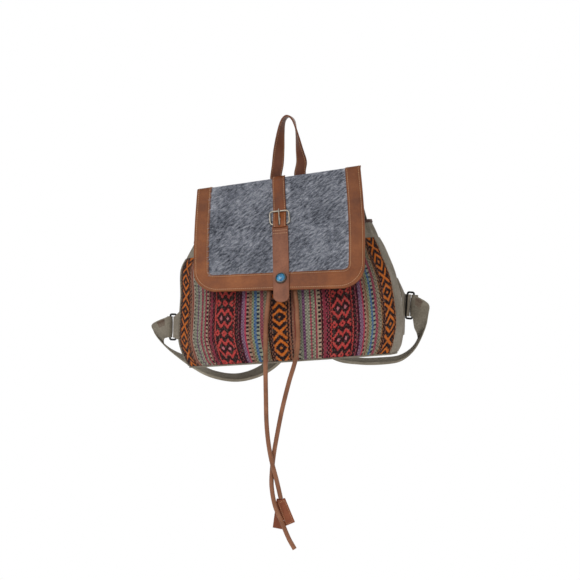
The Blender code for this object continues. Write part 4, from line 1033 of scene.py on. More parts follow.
@dataclass(frozen=True)
class StripePattern:
    """A traditional striped cloth: bands of stepped diamonds between narrow yarn stripes."""

    repeat: float = 46.0
    row: float = 0.2165
    step_across: float = 1.2
    step_along: float = 1.3
    rise: float = 0.022
    reach: float = 0.160
    centre: float = 0.0017
    heart: str = "d07880"
    stripes: tuple = (
        Stripe(9.4, "dc7428", "2a1a1c", "diamond"),
        Stripe(2.8, "b06a40", "240e12", "zigzag"),
        Stripe(1.6, "9a6450"),
        Stripe(2.8, "ad7c62", "240e12", "zigzag"),
        Stripe(3.4, "a8745e", "94604e", "ribs"),
        Stripe(2.4, "8e4038"),
        Stripe(3.4, "b4a492", "181012", "beads"),
        Stripe(5.4, "a8a892", "6c6e60", "ribs"),
        Stripe(3.4, "5c3254", "8d6080", "ribs"),
        Stripe(5.6, "b0ae9a", "767464", "ribs"),
        Stripe(3.0, "b8485c", "80404c", "ribs"),
        Stripe(4.0, "aaa48c", "666e5c", "ribs"),
        Stripe(3.2, "b84058", "7c3440", "ribs"),
        Stripe(4.0, "b8a088", "181012", "beads"),
        Stripe(4.2, "b0605e", "240e16", "zigzag"),
        Stripe(3.0, "903444"),
        Stripe(3.6, "a84454", "240e16", "zigzag"),
        Stripe(37.0, "34161a", "cc4844", "twin"),
        Stripe(3.6, "a8505a", "240e16", "zigzag"),
        Stripe(4.0, "521026", "300a1a", "ribs"),
        Stripe(4.4, "a07c92", "6a4462", "ribs"),
        Stripe(2.4, "b83c56"),
        Stripe(3.6, "b49480", "181012", "beads"),
        Stripe(4.2, "aa846a", "7c5440", "ribs"),
        Stripe(3.4, "a0a884", "6c7058", "ribs"),
        Stripe(3.6, "365f98", "6c86a0", "ribs"),
        Stripe(4.2, "a4aa94", "2c3440", "beads"),
        Stripe(4.8, "b85868", "7c444c", "ribs"),
        Stripe(5.8, "a89c84", "685e4c", "ribs"),
        Stripe(3.4, "b07c54", "240e12", "zigzag"),
        Stripe(2.8, "9a6450", "240e12", "zigzag"),
        Stripe(9.4, "dc7428", "2a1a1c", "diamond"),
    )

    def figure(self, stripe: Stripe, x: np.ndarray, y: np.ndarray) -> np.ndarray:
        """Where a stripe shows its figure's yarn.

        Args:
            stripe: the stripe.
            x: steps in millimetres from the stripe's left edge, or from a band's middle.
            y: steps in millimetres along the cloth, from a diamond's middle.

        Returns:
            1 where the figure is, 2 at a figure's heart and 0 on the ground.
        """
        if stripe.kind == "ribs":
            return ((np.floor(y / 2.3) + np.floor(x / 1.9)) % 2 == 0).astype(int)
        wave = np.abs((y / 6.4) % 1 - 0.5) * 4 - 1
        if stripe.kind == "beads":
            return ((wave > 0) & (np.abs(x - stripe.width / 2) < stripe.width * 0.42)).astype(int)
        if stripe.kind == "zigzag":
            return (np.abs(x - stripe.width / 2 - 0.8 * wave) < 1.15).astype(int)
        cell = np.abs((y + self.repeat / 2) % self.repeat - self.repeat / 2)
        if stripe.kind == "diamond":
            around = cell + np.abs(x)
            return (np.abs((around + 0.1) % 11.4 - 5.7) < 3.3).astype(int)
        fold = np.abs(np.abs(x) - 5.3)
        around = cell + 1.45 * fold
        small = np.abs(cell - self.repeat / 2) / 5.2 + np.abs((x + 5.6) % 11.2 - 5.6) / 4.4
        drawn = (around > 10.9) & (around < 16.2) | (small > 0.34) & (small < 1.1)
        flank = np.abs(np.abs(x) - 15.4 - 0.8 * wave) < 0.8
        drawn = np.where(np.abs(x) < 13.2, drawn, flank)
        return np.where((around < 3.6) & (np.abs(x) < 13.2), 2, drawn.astype(int))

    def colours(self, across: np.ndarray, along: np.ndarray) -> np.ndarray:
        """The yarn's colour at flat places of the cloth, in metres."""
        total = sum(s.width for s in self.stripes)
        u = (across - self.centre) / MILLIMETRE
        u = np.round(u / self.step_across) * self.step_across
        v = (along - self.row + self.rise * (across / self.reach) ** 2) / MILLIMETRE
        v = np.round(v / self.step_along) * self.step_along
        place = u % total
        result = np.zeros((len(u), 3))
        start = 0.0
        for number, stripe in enumerate(self.stripes):
            inside = (place >= start) & (place < start + stripe.width)
            x = place - start
            if stripe.kind == "diamond":
                x = place if number == 0 else place - total
            elif stripe.kind == "twin":
                x = place - start - stripe.width / 2
            result[inside] = paint(stripe.ground)
            if stripe.figure:
                drawn = self.figure(stripe, x, v)
                result[inside & (drawn == 1)] = paint(stripe.figure)
                result[inside & (drawn == 2)] = paint(self.heart)
            start += stripe.width
        random = np.random.default_rng(7)
        yarn, pick = (
            1 + depth * (random.random(4096)[np.round(at / step).astype(int) % 4096] - 0.5)
            for depth, at, step in ((0.10, u, self.step_across), (0.12, v, self.step_along))
        )
        speck = 1 + 0.4 * (random.random(len(u)) - 0.5)
        pale = np.array(paint("a79d8c"))
        show = (random.random(len(u)) < 0.08)[:, None]
        result = np.where(show, 0.6 * result + 0.4 * pale, result)
        return np.clip(0.8 * result * (yarn * pick * speck)[:, None], 0, 1)


@dataclass
class Shell:
    """The bag's body: striped front, sides, back, base, casing, binding and lining."""

    form: BagForm
    finish: Finishes
    sew: RepeatTree
    pattern: StripePattern = field(default_factory=StripePattern)
    eyelet_spacing: float = 0.040
    eyelet_hole: float = 0.0050
    strap_at: float = 0.004
    binding_width: float = 0.0045
    binding_thick: float = 0.0040
    base_thick: float = 0.0024
    seam_cord: float = 0.0013

    def flat_half(self) -> float:
        """Half the front's width as cut, measured round its widest section."""
        drop = 0.83 * self.form.drop
        points = [self.form.point(t, drop) for t in np.linspace(0, 1, 60)]
        return float(sum(np.hypot(*(b - a)) for a, b in zip(points, points[1:])))

    def build(self) -> None:
        """Builds and dresses the body."""
        form, finish = self.form, self.finish
        below = (form.mouth + form.casing + form.gap, form.drop)
        half = self.flat_half()
        edge = form.gap / (2 * form.halves[3])

        def front_relief(u: np.ndarray, v: np.ndarray) -> np.ndarray:
            """Soft folds that fan out below the casing, and a slack lower belly."""
            fade = 1 - smooth_step(below[0], below[0] + 0.060, v)
            rim = smooth_step(0, 0.02, half - np.abs(u)) * smooth_step(0, 0.012, below[1] - v)
            fold = np.sin(u * 175 + 2.2 * np.sin(u * 23)) * 0.0011 * fade
            sag = 0.0010 * np.sin(u * 31 + 40 * v + 0.6) + 0.0007 * np.sin(u * 57 - 33 * v)
            return (fold + sag * (1 - 0.5 * fade)) * rim

        cloth = Sheet(
            "striped_front", form.panel(-1, 1), (-1 + edge, 1 - edge), below, (116, 49), (0, form.cloth), 4,
            ((-half, half), below), front_relief, backed=False, colour=self.pattern.colours,
        ).build()
        mount(dress(cloth, finish.weave), Body.BAG, "weave", "front_panel")
        for side in Side:
            self._gusset(side, below)
        self._back(below)
        self._casing()
        self._lining()
        self._base()
        self._piping(below)

    def _gusset(self, side: Side, below: tuple) -> None:
        """A canvas side with long soft folds."""
        form = self.form
        low = -2 if side is Side.LEFT else 1
        edge = 4 * form.gap / form.halves[3]

        def relief(u: np.ndarray, v: np.ndarray) -> np.ndarray:
            """Folds that run down the side."""
            centre = np.abs(u - 0.035) / 0.035
            rim = np.clip(1 - centre, 0, 1) ** 0.5
            return rim * (0.0016 * np.sin(u * 150 + 18 * v) + 0.0009 * np.sin(u * 95 - 60 * v))

        name = "gusset_" + side.label
        piece = Sheet(
            name, form.panel(low, low + 1), (low + edge, low + 1 - edge), below, (8, 18), (0, form.canvas), 4,
            ((0, 0.07), below), relief,
        ).build()
        mount(dress(piece, self.finish.canvas), Body.BAG, "canvas", "side_" + name)

    def _back(self, below: tuple) -> None:
        """The canvas back, slightly rumpled."""
        form = self.form
        edge = 4 * form.gap / form.halves[3]

        def relief(u: np.ndarray, v: np.ndarray) -> np.ndarray:
            """Low waves in the lower back, none under the root and the yoke."""
            calm = smooth_step(0.075, 0.120, v) * smooth_step(0, 0.015, below[1] - v)
            calm = calm * smooth_step(0, 0.02, 0.162 - np.abs(u))
            return calm * (0.0009 * np.sin(u * 42 + 30 * v) - 0.0007 + 0.0006 * np.sin(u * 71 - 52 * v))

        half = form.halves[3]
        piece = Sheet(
            "canvas_back", form.panel(2, 4), (2 + edge, 4 - edge), (form.axis_drop + MILLIMETRE, form.drop),
            (24, 24), (0, form.canvas), 3, ((half, -half), (form.axis_drop, form.drop)), relief,
        ).build()
        mount(dress(piece, self.finish.canvas), Body.BAG, "canvas", "back_panel")

    def _casing(self) -> None:
        """The gathered drawstring casing with its eyelet holes, and the binding on its rim."""
        form = self.form
        edge = form.gap / form.halves[3]
        drops = (form.mouth, form.mouth + form.casing)
        around = (-2 + edge, 2 - edge)
        half = 0.19

        def relief(u: np.ndarray, v: np.ndarray) -> np.ndarray:
            """Gathers that run down the casing, none at the eyelets or the panels' seams."""
            middle = np.sin(np.pi * np.clip((v - drops[0]) / form.casing, 0, 1))
            clear = smooth_step(0.034, 0.055, np.abs(u - self.strap_at))
            ends = smooth_step(0, 0.012, half - np.abs(u))
            return middle * clear * ends * 0.0011 * np.sin(u * 430 + 3 * np.sin(u * 61))

        casing = Sheet(
            "casing", form.panel(-2, 2), around, drops, (80, 6), (0, form.canvas), 3,
            ((-half, half), drops), relief,
        ).build()
        for side in Side:
            centre, outward = self.eyelet(side)
            bpy.ops.mesh.primitive_cylinder_add(vertices=32, radius=self.eyelet_hole, depth=0.010)
            cutter = bpy.context.object
            cutter.location = centre
            cutter.rotation_euler = outward.to_track_quat("Z", "Y").to_euler()
            cut = casing.modifiers.new("Hole", "BOOLEAN")
            cut.operation, cut.solver, cut.object = "DIFFERENCE", "EXACT", cutter
            casing = baked(casing)
            bpy.data.objects.remove(cutter)
        mount(dress(casing, self.finish.canvas), Body.BAG, "canvas", "drawstring_casing")
        rim = (form.mouth - form.gap - self.binding_width, form.mouth - form.gap)
        out = [(form.canvas + sign * self.binding_thick) / 2 for sign in (-1, 1)]
        binding = Sheet(
            "rim_binding", form.panel(-2, 2), around, rim, (72, 2), out, 2, ((-half, half), rim)
        ).build()
        mount(dress(binding, self.finish.dark), Body.BAG, "leather_dark", "mouth_binding")
        turns = np.linspace(-1.96, 1.96, 150)
        rows = []
        for drop in (drops[0] + 0.003, drops[1] - 0.0025):
            rows.append([form.wall(t, drop, form.canvas + STITCH_LIFT, -2, 2) for t in turns])
        stitches = self.sew.sew("casing_stitches", rows, self.finish.drab_thread)
        mount(stitches, Body.BAG, "canvas")

    @property
    def eyelet_drop(self) -> float:
        """The drop at which the eyelets lie, halfway down the casing."""
        return self.form.mouth + self.form.casing / 2

    def eyelet_turn(self, side: Side) -> float:
        """The turn at which an eyelet lies."""
        return self.form.front_turn(self.strap_at + side.value * self.eyelet_spacing / 2, self.eyelet_drop)

    def eyelet(self, side: Side) -> tuple[Vector, Vector]:
        """An eyelet's centre on the casing's inner face, and the way it faces."""
        form = self.form
        turn, drop = self.eyelet_turn(side), self.eyelet_drop
        centre = form.wall(turn, drop, 0, -1, 1)
        sideways = form.wall(turn + 0.01, drop, 0, -1, 1) - centre
        downward = form.wall(turn, drop + MILLIMETRE, 0, -1, 1) - centre
        return centre, downward.cross(sideways).normalized()

    def _lining(self) -> None:
        """The lining: an open cup, slack in its lower half."""
        form = self.form
        casing_end = form.mouth + form.casing
        drops = list(np.linspace(form.mouth + 0.0007, casing_end, 9))
        drops += list(np.linspace(casing_end, form.drop - 0.001, 22))[1:]
        count = 168
        bm = bmesh.new()
        layer = bm.loops.layers.uv.new("flat")

        def ring(drop: float, extra: float, lift: float) -> list:
            """One ring of the cup's points."""
            near = 1 - smooth_step(casing_end - 0.0025, casing_end + 0.010, drop)
            points = []
            for i in range(count):
                turn = -2 + 6 * i / count
                slack = 0.0010 * (1 + math.sin(turn * 9 + drop * 70)) * smooth_step(0.13, 0.17, drop)
                x, y = form.point(turn, drop, 0.0007 + extra + 0.0092 * near + slack)
                points.append(bm.verts.new(form.hanging(x, y, drop - lift)))
            return points

        outer = [ring(d, 0, 0) for d in drops]
        inner = [ring(d, form.lining, form.lining if d == drops[-1] else 0) for d in drops]
        bands = [*zip(outer, outer[1:]), *zip(inner, inner[1:]), (outer[0], inner[0])]
        for number, (a, b) in enumerate(bands):
            for i in range(count):
                j = (i + 1) % count
                face = bm.faces.new((a[i], a[j], b[j], b[i]))
                marks = ((i, 0), (i + 1, 0), (i + 1, 1), (i, 1))
                for loop, (across, along) in zip(face.loops, marks):
                    loop[layer].uv = (across * 0.0049, (number % len(drops) + along) * 0.0085)
        for last in (outer[-1], inner[-1]):
            middle = bm.verts.new(sum((v.co for v in last), Vector()) / count)
            for i in range(count):
                bm.faces.new((last[i], last[(i + 1) % count], middle))
        bmesh.ops.recalc_face_normals(bm, faces=bm.faces)
        piece = meshed("lining_cup", bm)
        mount(dress(piece, self.finish.lining), Body.BAG, "canvas_dark", "lining")

    def _base(self) -> None:
        """The flat canvas base."""
        form = self.form
        origin = form.hanging(0, 0, form.drop)
        right = form.hanging(1, 0, form.drop) - origin
        down = Vector((math.sin(form.base_tilt), 0, -math.cos(form.base_tilt)))
        outline = []
        for i in range(168):
            turn = -2 + 6 * i / 168
            low = -1 if abs(turn) < 1 else -2 if turn < 0 else 1 if turn < 2 else 2
            rim = form.wall(turn, form.drop, form.canvas, low, low + 2 if low in (-1, 2) else low + 1)
            outline.append(((rim - origin).dot(right), rim.y))

        def place(x: float, y: float, height: float) -> Vector:
            """A point of the base, below the walls' lower edges."""
            return form.hanging(x, y, form.drop) + down * (form.gap + height)

        piece = cut_sheet("canvas_base", [outline], (0, self.base_thick), [], place, 0.0006)
        mount(dress(piece, self.finish.canvas, self.finish.canvas), Body.BAG, "canvas", "base_panel")

    def _piping(self, below: tuple) -> None:
        """Corded edges down the front's seams."""
        form = self.form
        drops = np.linspace(below[0] + 0.001, below[1] - 0.001, 60)
        for side in Side:
            points = [form.wall(side.value, d, form.cloth * 0.7, -1, 1) for d in drops]
            cord = baked(tube("seam_cord_" + side.label, points, self.seam_cord))
            mount(dress(cord, self.finish.canvas), Body.BAG, "canvas")


@dataclass
class Flap:
    """The flap: its root, lining, hair-on hide, stitched border and hair."""

    form: FlapForm
    finish: Finishes
    sew: RepeatTree

    def build(self) -> None:
        """Builds and dresses the flap."""
        form, finish = self.form, self.finish
        bag = form.bag
        roll = math.pi - math.radians(30)
        arc_length = (form.root_radius - form.root / 2) * roll

        def root_place(across: float, along: float, height: float) -> Vector:
            """The root rolls over the top of the back and runs down outside it."""
            if along < arc_length:
                angle = roll * (1 - along / arc_length)
                radius = form.root_radius - form.root + height
                depth = form.axis_y + radius * math.cos(angle)
                return bag.hanging(across, depth, bag.axis_drop - radius * math.sin(angle))
            drop = bag.axis_drop + along - arc_length
            return bag.back_face(across, drop, bag.canvas + bag.gap + height)

        reach = arc_length + form.root_drop - bag.axis_drop
        half = form.half - 0.003
        root = Sheet(
            "root_leather", root_place, (-half, half), (0, reach), (20, 40), (0, form.root), 2
        ).build()
        mount(dress(root, finish.leather), Body.BAG, "leather", "flap_root")
        line = np.linspace(-half + 0.004, half - 0.004, 80)
        height = form.root + STITCH_LIFT
        rows = [[root_place(x, reach - inset, height) for x in line] for inset in (0.003, 0.006)]
        mount(self.sew.sew("root_stitches", rows, finish.thread), Body.BAG, "leather")
        top = -form.wrap
        cuts = [top * (1 - i / 8) for i in range(1, 9)] + [0.02 * i for i in range(1, 10)]
        lining = cut_sheet(
            "flap_cloth", [form.outline(0.0025, top, form.corner)], (0, bag.lining), cuts, form.place, 0.0003
        )
        mount(dress(lining, finish.lining, finish.lining), Body.FLAP, "canvas_dark", "flap_lining")
        heights = (form.hide_base, form.hide_top - 0.0004)
        hide = cut_sheet("hide_skin", [form.hide_edge(0, top)], heights, cuts, form.place, 0.0004)
        mount(dress(hide, finish.hide, finish.hide), Body.FLAP, "hide", "flap_hide")
        border_outline = form.outline(0, top, form.corner) + list(reversed(form.hide_edge(bag.gap, top)))
        heights = (form.hide_base, form.border_top)
        border = cut_sheet("border_leather", [border_outline], heights, cuts, form.place, 0.0007)
        mount(dress(border, finish.leather, finish.rim), Body.FLAP, "leather", "flap_border")
        self._stitches(top)
        self._hair(top)

    def _stitches(self, top: float) -> None:
        """Two rows of stitches round the border."""
        form = self.form
        rows = []
        for outline in (form.outline(0.0032, top, form.corner), form.hide_edge(0.0030, top)):
            dense = []
            for (x0, y0), (x1, y1) in zip(outline, outline[1:]):
                steps = max(1, int(math.hypot(x1 - x0, y1 - y0) / 0.002))
                dense += [(x0 + (x1 - x0) * i / steps, y0 + (y1 - y0) * i / steps) for i in range(steps)]
            dense.append(outline[-1])
            rows.append([form.place(x, y, form.border_top + STITCH_LIFT) for x, y in dense])
        stitches = self.sew.sew("border_stitches", rows, self.finish.thread, 0.0032, 0.0025, 0.00042)
        mount(stitches, Body.FLAP, "leather")

    def _hair(self, top: float) -> None:
        """Short hairs over the hide, which lie down and to the left."""
        form = self.form
        width = form.half - form.border_side - 0.0010
        base = form.length - form.border_base - 0.0015
        height = form.hide_top - 0.0007
        tree = HairTree("short_hair")
        for name, start, end in (("hide_hair_left", -width, -0.0095), ("hide_hair_right", 0.0205, width)):
            sheet = Sheet(
                name, form.place, (start, end), (top * 0.5, base), (12, 30), (height, height + MILLIMETRE), 1,
                backed=False,
            ).build()
            bm = bmesh.new()
            bm.from_mesh(sheet.data)
            loose = [v for v in bm.verts if not any(abs(f.normal.y) > 0.5 for f in v.link_faces)]
            bmesh.ops.delete(bm, geom=loose, context="VERTS")
            bm.to_mesh(sheet.data)
            bm.free()
            mount(tree.grow(sheet, (-0.80, -0.62, -0.55), self.finish.hair), Body.FLAP, "hide")


@dataclass
class ClosingStrap:
    """The closing strap's two halves, its buckle, its stone ornament and its snap."""

    form: FlapForm
    finish: Finishes
    sew: RepeatTree
    at: float = 0.004
    lean: float = 0.0044
    upper_width: float = 0.0195
    lower_width: float = 0.024
    thick: float = 0.0020
    lower_thick: float = 0.0022
    lower_end: float = 0.2112
    tip: float = 0.009
    hinge_at: float = 0.0795
    frame_length: float = 0.0217
    frame_width: float = 0.0305
    frame_corner: float = 0.005
    wire: float = 0.0014
    prong: float = 0.0009
    overhang: float = 0.0030
    slot_start: float = 0.0660
    tail: float = 0.0064
    ornament_at: float = 0.1722

    @property
    def gap(self) -> float:
        """The small gap between touching pieces."""
        return self.form.bag.gap

    @property
    def hinge_height(self) -> float:
        """The height of the buckle's hinge bar."""
        return self.form.hide_top + self.gap + self.wire

    @property
    def eye(self) -> float:
        """The radius of the prong's eye."""
        return self.wire + self.gap + self.prong

    def strap_place(self, across: float, along: float, height: float) -> Vector:
        """A point of what is on the closing strap, which leans a little on the flap."""
        shift = self.lean * (along / self.form.length - 0.5)
        return self.form.place(across + shift, along, height)

    def upper_place(self, across: float, along: float, height: float) -> Vector:
        """The upper strap lies on the hide, then over the frame's hinge bar."""
        low = self.form.hide_top + self.gap
        high = self.hinge_height + self.wire + self.gap
        start = self.hinge_at - self.frame_length + self.wire + self.gap
        rise = float(smooth_step(start, self.hinge_at - 0.0015, along))
        return self.strap_place(across, along, height + low + rise * (high - low))

    def build(self) -> None:
        """Builds and dresses the closing strap and what is on it."""
        self._upper()
        self._lower()
        self._buckle()
        self._ornament()
        self._snap()

    def _upper(self) -> None:
        """The upper half, punched for the prong and stitched down its edges."""
        half, top = self.upper_width / 2, -self.form.wrap
        end = self.hinge_at + self.tail
        strap = [(self.at - half, top), (self.at + half, top), (self.at + half, end), (self.at - half, end)]
        slot_half = self.prong + 0.0008
        slot_end = self.hinge_at + self.eye + self.prong + 2 * self.gap
        slot = arc((self.at, self.slot_start + slot_half), slot_half, 180, 360, 10)
        slot += arc((self.at, slot_end - slot_half), slot_half, 0, 180, 10)
        cuts = [top * (1 - i / 6) for i in range(1, 7)] + [0.03]
        cuts += [self.hinge_at - self.frame_length + 0.0009 * i for i in range(1, 22)]
        piece = cut_sheet("strap_top", [strap, slot], (0, self.thick), cuts, self.upper_place, 0.0005)
        mount(dress(piece, self.finish.upper, self.finish.upper), Body.FLAP, "leather", "strap_upper")
        rows = []
        for side in (-1, 1):
            line = np.linspace(top * 0.6, end - 0.002, 60)
            across = self.at + side * (half - 0.0018)
            rows.append([self.upper_place(across, a, self.thick + STITCH_LIFT) for a in line])
        mount(self.sew.sew("strap_top_stitches", rows, self.finish.thread), Body.FLAP, "leather")

    def _lower(self) -> None:
        """The lower half with its rounded tip, and two rows of stitches across it."""
        half = self.lower_width / 2
        start = self.hinge_at + self.eye + self.prong + self.gap
        shoulder = self.lower_end - self.tip
        tip = []
        for i in range(25):
            angle = math.pi * i / 24
            tip.append((self.at + half * math.cos(angle), shoulder + self.tip * math.sin(angle)))
        outline = [(self.at - half, start), (self.at + half, start), *tip]
        low = self.form.border_top + self.gap
        heights = (low, low + self.lower_thick)
        cuts = [start + 0.012 * i for i in range(1, 11)]
        piece = cut_sheet("strap_low", [outline], heights, cuts, self.strap_place, 0.0006)
        mount(dress(piece, self.finish.strap, self.finish.rim), Body.FLAP, "leather", "strap_lower")
        height = heights[1] + STITCH_LIFT
        rows = []
        for along in (start + 0.0075, start + 0.0125):
            line = np.linspace(self.at - half + 0.0025, self.at + half - 0.0025, 24)
            rows.append([self.strap_place(x, along, height) for x in line])
        stitches = self.sew.sew("strap_low_stitches", rows, self.finish.thread, 0.0030, 0.0023, 0.00042)
        mount(stitches, Body.FLAP, "leather")

    def _buckle(self) -> None:
        """The buckle's bent wire and its prong."""
        form = self.form
        hinge = self.strap_place(self.at, self.hinge_at, self.hinge_height)
        beside = self.strap_place(self.at + MILLIMETRE, self.hinge_at, self.hinge_height)
        across = (beside - hinge).normalized()
        top_at = self.hinge_at - self.frame_length
        top_height = form.hide_top + self.gap + self.thick + self.gap + self.wire
        top = self.strap_place(self.at, top_at, top_height)
        centre, up = (hinge + top) / 2, (top - hinge).normalized()
        loop = rounded_loop(self.frame_width, (top - hinge).length, self.frame_corner, 12)
        points = [centre + across * x + up * y for x, y in loop]
        frame_piece = baked(tube("buckle_wire", points, self.wire, True))
        mount(dress(frame_piece, self.finish.nickel), Body.FLAP, "silver", "buckle_frame")
        places = []
        for degrees in (-10, 20, 50, 80, 105):
            angle = math.radians(degrees)
            along = self.hinge_at + self.eye * math.cos(angle)
            places.append((along, self.hinge_height + self.eye * math.sin(angle)))
        rest = top_height + self.wire + self.gap + self.prong
        middle = (self.hinge_height + self.eye + rest) / 2 + 0.0002
        places += [((self.hinge_at + top_at) / 2, middle), (top_at, rest)]
        places.append((top_at - self.overhang, rest - 0.0006))
        points = smooth_route([self.strap_place(self.at, a, h) for a, h in places], 0.0008)
        prong = baked(tube("buckle_tongue", points, self.prong))
        mount(dress(prong, self.finish.nickel), Body.FLAP, "silver", "buckle_prong")

    def _ornament(self) -> None:
        """The dark silver rim, its ring of beads and the turquoise stone."""
        seat = self.form.border_top + self.gap + self.lower_thick + self.gap
        centre, outward, across = self._face(seat)
        cup, floor = 0.0068, 0.00096
        rim = [(0, floor), (cup, floor), (cup, 0.0024), (cup + 0.0003, 0.0027), (cup + 0.0009, 0.0026)]
        rim += [(0.0083, 0.0018), (0.0088, 0.0010), (0.0090, 0.0003), (0.0087, 0), (0, 0)]
        piece = turned("stone_setting", rim, centre, outward)
        mount(dress(piece, self.finish.silver), Body.FLAP, "silver", "concho_rim")
        dome = [(0, floor + 0.0025)]
        for i in range(1, 14):
            share = i / 14
            dome.append((0.0065 * share, floor + 0.0003 + 0.0022 * (1 - share**2.6)))
        dome += [(0.0065, floor + 0.0006), (0.0065, floor + 0.0003), (0, floor + 0.0003)]
        stone = turned("turquoise_stone", dome, centre, outward)
        mount(dress(stone, self.finish.stone), Body.FLAP, "stone", "concho_stone")
        up = outward.cross(across).normalized()
        ring = []
        for i in range(73):
            angle = 2 * math.pi * i / 72
            spoke = across * math.cos(angle) + up * math.sin(angle)
            ring.append(centre + spoke * 0.0081 + outward * 0.0019)
        beads = self.sew.sew("setting_beads", [ring], self.finish.silver, 0.00135, 0.0011, 0.0005)
        mount(beads, Body.FLAP, "silver")

    def _face(self, height: float) -> tuple[Vector, Vector, Vector]:
        """The ornament's centre at a height, and the outward and across directions there."""
        centre = self.strap_place(self.at, self.ornament_at, height)
        outward = (self.strap_place(self.at, self.ornament_at, height + MILLIMETRE) - centre).normalized()
        across = (self.strap_place(self.at + MILLIMETRE, self.ornament_at, height) - centre).normalized()
        return centre, outward, across

    def _snap(self) -> None:
        """The hidden snap keeps its solids, with a worn metal finish."""
        for node in ("snap_socket", "snap_stud"):
            dress(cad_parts[node], self.finish.nickel)


def rounded_loop(width: float, height: float, corner: float, steps: int) -> list[tuple]:
    """The points of a rounded rectangle about its centre."""
    points = []
    for x, y, start in ((1, -1, -90), (1, 1, 0), (-1, 1, 90), (-1, -1, 180)):
        centre = (x * (width / 2 - corner), y * (height / 2 - corner))
        points += arc(centre, corner, start, start + 90, steps)
    return points


@dataclass
class Handle:
    """The hanging handle and the yoke patch over its ends."""

    form: FlapForm
    finish: Finishes
    sew: RepeatTree
    width: float = 0.0185
    thick: float = 0.0028
    left: float = -0.0083
    right: float = 0.0327
    drop: float = 0.045

    def build(self) -> None:
        """Builds and dresses the handle and the yoke."""
        strap = Ribbon(
            "handle_leather", self._stations(), lambda share: self.thick, 8, crown=0.18, seam=0.10
        )
        mount(dress(strap.build(), self.finish.handle), Body.BAG, "leather_dark", "handle_strap")
        sunk = self.thick / 2 - 0.0002
        rows = [strap.line(share, height, 0.12, 0.88) for share in (0.1, 0.9) for height in (sunk, -sunk)]
        stitches = self.sew.sew("handle_stitches", rows, self.finish.thread, 0.0034, 0.0026, 0.0003)
        mount(stitches, Body.BAG, "leather")
        self._yoke()

    def _stations(self) -> list[tuple]:
        """Edge pairs from the left leg's end, over the top, to the right leg's end."""
        bag, form = self.form.bag, self.form
        seat = bag.canvas + bag.gap + form.root + bag.gap + self.thick / 2
        clear = form.radius + form.border_top + 0.0020 + 2 * bag.gap + self.thick / 2
        beyond = form.axis_y + clear - bag.sizes(bag.axis_drop)[3]
        half = self.width / 2

        def edges(x: float, y: float, z: float, degrees: float) -> tuple:
            """A pair of edges about a point, turned about the vertical."""
            angle = math.radians(degrees)
            reach = Vector((math.cos(angle), math.sin(angle), 0)) * half
            return Vector((x, y, z)) - reach, Vector((x, y, z)) + reach

        def base(at: float, drop: float, out: float) -> tuple:
            """A pair of edges on the back."""
            return bag.back_face(at - half, drop, out), bag.back_face(at + half, drop, out)

        top = bag.axis_drop
        left = [
            base(self.left, self.drop, seat),
            base(self.left, self.drop * 0.66, seat),
            base(self.left, top + 0.0115, seat + 0.0004),
            base(self.left + 0.0005, top, beyond),
            base(self.left + 0.0010, top - 0.0120, beyond + 0.0002),
            edges(-0.0180, 0.0050, -0.0740, 18),
            edges(-0.0153, 0.0025, -0.0506, 44),
            edges(-0.0118, 0.0008, -0.0230, 72),
            edges(-0.0084, 0.0002, -0.0070, 86),
            edges(-0.0045, 0.0, -0.0008, 90),
            edges(0.0, 0.0, self.thick / 2, 90),
        ]
        right = [
            edges(0.0050, 0.0, -0.0008, 90),
            edges(0.0094, 0.0002, -0.0070, 94),
            edges(0.0134, 0.0008, -0.0230, 108),
            edges(0.0178, 0.0025, -0.0506, 136),
            edges(0.0205, 0.0050, -0.0700, 162),
        ]
        ends = [
            base(self.right - 0.0010, top - 0.0120, beyond + 0.0002),
            base(self.right - 0.0005, top, beyond),
            base(self.right, top + 0.0115, seat + 0.0004),
            base(self.right, self.drop * 0.66, seat),
            base(self.right, self.drop, seat),
        ]
        return left + right + [(b, a) for a, b in ends]

    def _yoke(self) -> None:
        """The leather patch, stitched round and boxed over the straps' ends."""
        bag = self.form.bag
        half, top, base, corner, thick = 0.076, 0.0235, 0.058, 0.008, 0.0018
        under = bag.canvas + bag.gap + self.form.root + bag.gap + 0.0046 + bag.gap

        def place(across: float, drop: float, out: float) -> Vector:
            """A point of the yoke, out from the back."""
            return bag.back_face(YOKE_AT + across, drop, under + out)

        def outline(inset: float) -> list[tuple]:
            """The patch's outline, drawn in by an inset."""
            wide, high, low, bend = half - inset, top + inset, base - inset, max(corner - inset, 0.002)
            points = []
            upper, lower = high + bend, low - bend
            for x, y, start in ((1, upper, 270), (1, lower, 0), (-1, lower, 90), (-1, upper, 180)):
                points += arc((x * (wide - bend), y), bend, start, start + 90, 8)
            return points

        cuts = [0.030, 0.037, 0.044, 0.051]
        piece = cut_sheet("yoke_leather", [outline(0)], (0, thick), cuts, place, 0.0006)
        mount(dress(piece, self.finish.leather, self.finish.rim), Body.BAG, "leather", "yoke")
        ring = outline(0.003)
        lines = [[*ring, ring[0]]]
        for at in (self.left - 0.004, self.right + 0.004):
            lines.append([(at - YOKE_AT, y) for y in np.linspace(top + 0.004, base - 0.004, 16)])
        rows = [[place(x, y, thick + STITCH_LIFT) for x, y in line] for line in lines]
        mount(self.sew.sew("yoke_stitches", rows, self.finish.thread), Body.BAG, "leather")


